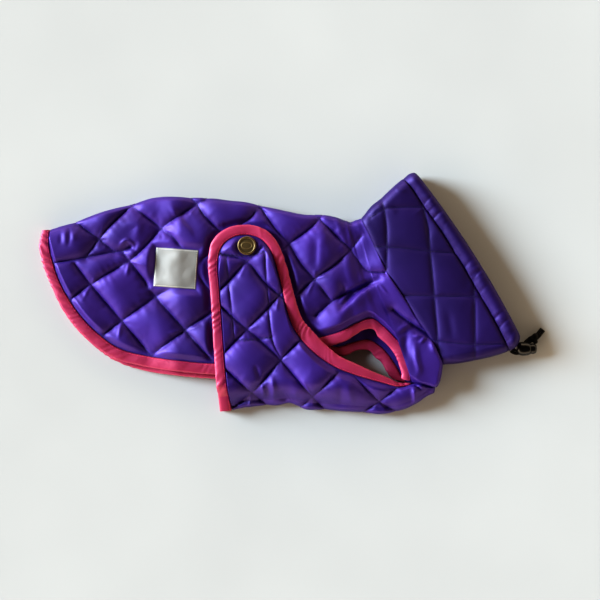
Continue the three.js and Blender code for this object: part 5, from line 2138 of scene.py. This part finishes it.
@dataclass
class Studio:
    """The pale ground, the window light from the left, and the camera straight above.

    The view is so many metres wide at the sight height, over that centre of the plan. The
    window's spread, elevation and turn are in degrees. The room fades between two heights in
    the sky, as shares of the way up, and from the window's side to the far one.
    """

    view_width: float = 0.660
    lens: float = 100.0
    sensor: float = 36.0
    sight_height: float = 0.020
    centre: tuple[float, float] = (20.8, -7.4)
    ground_half: float = 3.0
    ground_level: float = -0.0004
    ground_dark: Colour = (0.428, 0.436, 0.455)
    ground_light: Colour = (0.454, 0.463, 0.482)
    window_strength: float = 7.6
    window_spread: float = 24.0
    window_elevation: float = 21.0
    window_turn: float = 15.5
    window_tint: Colour = (0.76, 0.92, 1.0)
    room_tint: Colour = (1.0, 0.80, 0.57)
    room_heights: tuple[float, float] = (0.2, 0.64)
    room_fade: tuple[float, float] = (1.0, 0.02)
    room_sides: tuple[float, float] = (4.4, 2.1)

    def camera(self) -> None:
        """Adds the camera, which looks straight down with the head end to the right."""
        data = bpy.data.cameras.new("camera")
        data.lens = self.lens
        data.sensor_width = self.sensor
        data.clip_end = 20.0
        camera = bpy.data.objects.new("camera", data)
        x, y, _ = PLAN.metres(np.array([[*self.centre, 0.0]]), cloth=False)[0]
        camera.location = (x, y, self.sight_height + self.view_width * self.lens / self.sensor)
        bpy.context.scene.collection.objects.link(camera)
        bpy.context.scene.camera = camera

    def ground(self, finishes: Finishes) -> None:
        """Adds the pale ground.

        Args:
            finishes: What starts its material.
        """
        material, tree, shader = finishes.start("pale ground")
        place = tree.nodes.new("ShaderNodeTexCoord")
        noise = tree.nodes.new("ShaderNodeTexNoise")
        noise.inputs["Scale"].default_value = 5.0
        tree.links.new(place.outputs["Object"], noise.inputs["Vector"])
        colour = finishes.tint(tree, noise.outputs["Fac"], self.ground_dark, self.ground_light)
        tree.links.new(colour, shader.inputs["Base Color"])
        shader.inputs["Roughness"].default_value = 0.8
        shader.inputs["Specular IOR Level"].default_value = 0.08
        half, low = self.ground_half, self.ground_level
        corners = [(x * half, y * half, low) for x, y in ((-1, -1), (1, -1), (1, 1), (-1, 1))]
        mesh = bpy.data.meshes.new("ground")
        mesh.from_pydata(corners, [], [(0, 1, 2, 3)])
        ground = bpy.data.objects.new("ground", mesh)
        mesh.materials.append(material)
        bpy.context.scene.collection.objects.link(ground)

    def lights(self) -> None:
        """Adds the cool window light, and the warm room that is dark overhead."""
        window = bpy.data.lights.new("window", "SUN")
        window.energy = self.window_strength
        window.angle = math.radians(self.window_spread)
        window.color = self.window_tint
        lamp = bpy.data.objects.new("window", window)
        up, aside = math.radians(self.window_elevation), math.radians(self.window_turn)
        flat = math.cos(up)
        towards = Vector((-flat * math.cos(aside), flat * math.sin(aside), math.sin(up)))
        lamp.location = towards * 3.0
        lamp.rotation_euler = towards.to_track_quat("Z", "Y").to_euler()
        bpy.context.scene.collection.objects.link(lamp)
        world = bpy.data.worlds.new("room")
        bpy.context.scene.world = world
        world.use_nodes = True
        tree = world.node_tree
        shade = tree.nodes["Background"]
        shade.inputs["Color"].default_value = (*self.room_tint, 1.0)
        place = tree.nodes.new("ShaderNodeTexCoord")
        parts = tree.nodes.new("ShaderNodeSeparateXYZ")
        tree.links.new(place.outputs["Generated"], parts.inputs[0])
        shares = []
        for axis, kind, reach, values in (
            ("Z", "SMOOTHSTEP", self.room_heights, self.room_fade),
            ("X", "LINEAR", (-1.0, 1.0), self.room_sides),
        ):
            span = tree.nodes.new("ShaderNodeMapRange")
            span.interpolation_type = kind
            for key, value in zip(("From Min", "From Max", "To Min", "To Max"), reach + values):
                span.inputs[key].default_value = value
            tree.links.new(parts.outputs[axis], span.inputs["Value"])
            shares.append(span.outputs["Result"])
        tree.links.new(math_node(tree, "MULTIPLY", *shares), shade.inputs["Strength"])
        bpy.context.scene.view_settings.view_transform = "Standard"
        bpy.context.scene.view_settings.look = "High Contrast"


class Coat:
    """Builds and dresses the whole coat.

    The flat sizes of its cloths, all round where a cloth is a tube, are in metres. So are the
    lifts of the stitches' lines over the cloth. The margins are from an edge to its stitches,
    in mm, and the zigzag's pitch and width are in mm too.
    """

    back_flat: tuple[float, float] = (0.46, 0.38)
    belly_flat: tuple[float, float] = (0.40, 0.235)
    collar_flat: tuple[float, float] = (0.46, 0.13)
    casing_flat: tuple[float, float] = (0.49, 0.03)
    label_flat: tuple[float, float] = (0.047, 0.043)
    tape_width: float = 0.021
    label_margin: float = 1.3
    binding_margin: float = 1.7
    quilt_lift: float = 0.0001
    edge_lift: float = 0.00005
    patch_lift: float = 0.00015
    zigzag_size: tuple[float, float] = (2.2, 3.4)

    def __init__(self) -> None:
        """Makes the finishes that several pieces share."""
        self.finishes = Finishes()
        self.nylon = NYLON.make(self.finishes)
        self.shaded_collar_nylon = SHADED_COLLAR_NYLON.make(self.finishes)
        self.pink = BINDING.make(self.finishes)
        self.runs: dict[str, list[Array]] = {"purple": [], "pink": [], "white": [], "patch": []}

    def quilt(
        self, skin: Skin, lines: tuple[Points, ...], faces: tuple[bool, ...] = (False, True)
    ) -> None:
        """Lays runs of purple stitches along lines of the plan.

        Args:
            skin: The surface that they lie on.
            lines: The lines, in mm of the plan.
            faces: For each face of the cloth that they show on, whether it is the lower one.
        """
        for points in lines:
            for below in faces:
                self.runs["purple"] += runs_on(skin, curve(points), self.quilt_lift, below)

    def drawcord(self) -> None:
        """Builds the drawstring, its lock and its knot."""
        braid = braided_cord(self.finishes)
        plastic = black_plastic(self.finishes)
        cord = Drawcord()
        aside = (CORD_DIAMETER + CORD_GAP) / 2
        first, first_line = cord.strand("drawcord_left", aside, braid)
        second, second_line = cord.strand("drawcord_right", -aside, braid)
        barrel, button, knot = BARREL.build(plastic), BUTTON.build(plastic), knot_piece(braid)
        finish_piece(first, ("drawcord_a",))
        finish_piece(second, ("drawcord_b",))
        finish_piece(barrel, ("cord_lock_barrel",))
        finish_piece(button, ("cord_lock_button",))
        finish_piece(knot, ("cord_knot",))

    def back(self) -> Skin:
        """Builds the back panel and returns its surface."""
        panel = BackPanel(
            "back_panel_dressed", BACK_ROWS, Quilting(BACK_LINES, 7.2, -1.9), BACK_FOLDS, 150,
        )
        piece = panel.build(self.nylon)
        finish_piece(piece, ("back_panel",))
        skin = Skin(piece)
        self.quilt(skin, BACK_LINES + (DART_LINE,))
        return skin

    def belly(self) -> None:
        """Builds the belly panel, with the stitched patch on its flap."""
        panel = BellyPanel(
            "belly_panel_dressed", BELLY_ROWS, Quilting(FLAP_LINES, 7.6, -1.9, seed=23),
            BELLY_FOLDS, 140, seed=29,
        )
        piece = panel.build(self.nylon)
        finish_piece(piece, ("belly_panel",))
        skin = Skin(piece)
        self.quilt(skin, FLAP_LINES + PATCH_SIDES, (False,))
        self.quilt(skin, FLAP_LINES, (True,))
        for points in PATCH_ENDS:
            line = zigzag(curve(points), *self.zigzag_size)
            self.runs["patch"] += runs_on(skin, line, self.patch_lift)

    def collar(self) -> None:
        """Builds the collar and its casing."""
        collar = Collar("collar_dressed", COLLAR_RINGS, WALL, 150)
        # The collar and its casing take the darker nylon, whose colours hold painted shade.
        piece = collar.build(self.shaded_collar_nylon)
        finish_piece(piece, ("collar",))
        skin = Skin(piece)
        self.quilt(skin, COLLAR_LINES)
        casing = Casing("collar_casing_dressed", CASING_RINGS, WALL - 0.5, 220, 0.9)
        piece = casing.build(self.shaded_collar_nylon)
        finish_piece(piece, ("collar_casing",))

    def bindings(self) -> None:
        """Builds the four bindings and the stitches that hold them."""
        hem, belly = BindingHeights(False), BindingHeights(True)
        hem_plan = (BACK_ROWS, BACK_BAND_END, TAIL_BAND_START)
        belly_plan = (BELLY_ROWS, BELLY_BAND_END, BELLY_BAND_START)
        plans = (
            ("hem_binding_right", hem_plan, Side.RIGHT, hem, 101),
            ("hem_binding_left", hem_plan, Side.LEFT, hem, 111),
            ("belly_binding_right", belly_plan, Side.RIGHT, belly, 121),
            ("belly_binding_left", belly_plan, Side.LEFT, belly, 131),
        )
        for node, plan, side, heights, seed in plans:
            tape = Binding(f"{node}_dressed", *plan, side, heights, seed)
            piece = tape.build(self.pink)
            finish_piece(piece, (node,))
            inner, outer, _, way = tape.edges()
            if side is Side.RIGHT:
                width = np.linalg.norm(outer - inner, axis=1)[:, None]
                line = inner + (outer - inner) / width * self.binding_margin
                self.runs["pink"] += runs_on(Skin(piece), line[2:-2], self.edge_lift)

    def label(self, skin: Skin) -> None:
        """Builds the blank label and the stitches round it.

        Args:
            skin: The back panel's surface.
        """
        piece = label_piece(skin, LABEL_CLOTH.make(self.finishes))
        finish_piece(piece, ("label",))
        half_x = LABEL.width / 2 - self.label_margin
        half_y = LABEL.height / 2 - self.label_margin
        signs = ((-1, -1), (1, -1), (1, 1), (-1, 1), (-1, -1))
        corners = [LABEL.turned(dx * half_x, dy * half_y) for dx, dy in signs]
        on_label = Skin(piece)
        for a, b in zip(corners[:-1], corners[1:]):
            self.runs["white"] += runs_on(on_label, np.array([a, b]), self.edge_lift)

    def stitches(self) -> None:
        """Lays all the stitches, one mesh for each thread."""
        nodes = StitchNodes()
        purple = PURPLE_THREAD.make(self.finishes)
        pink = PINK_THREAD.make(self.finishes)
        white = WHITE_THREAD.make(self.finishes)
        plans = (
            ("quilting_stitches", "purple", purple, 0.0032, 0.0026, 0.00023, Slot.NYLON),
            ("patch_stitches", "patch", purple, 0.0019, 0.0019, 0.00026, Slot.NYLON),
            ("binding_stitches", "pink", pink, 0.0029, 0.0023, 0.00021, Slot.BINDING),
            ("label_stitches", "white", white, 0.0024, 0.0019, 0.00018, Slot.LABEL),
        )
        for name, key, thread, pitch, length, radius, slot in plans:
            piece = nodes.lay(name, self.runs[key], thread, pitch, length, radius)
            finish_piece(piece)

    def build(self) -> None:
        """Builds every sub-assembly in order."""
        self.drawcord()
        back = self.back()
        self.belly()
        self.collar()
        self.bindings()
        self.label(back)
        stud = StudCap().build(antique_brass(self.finishes))
        finish_piece(stud, ("stud_cap",))
        self.stitches()


def main() -> None:
    """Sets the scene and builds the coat."""
    logging.basicConfig(level=logging.INFO, format="%(message)s")
    studio = Studio()
    studio.camera()
    coat = Coat()
    coat.build()
    studio.ground(coat.finishes)
    studio.lights()


if __name__ == "__main__":
    main()
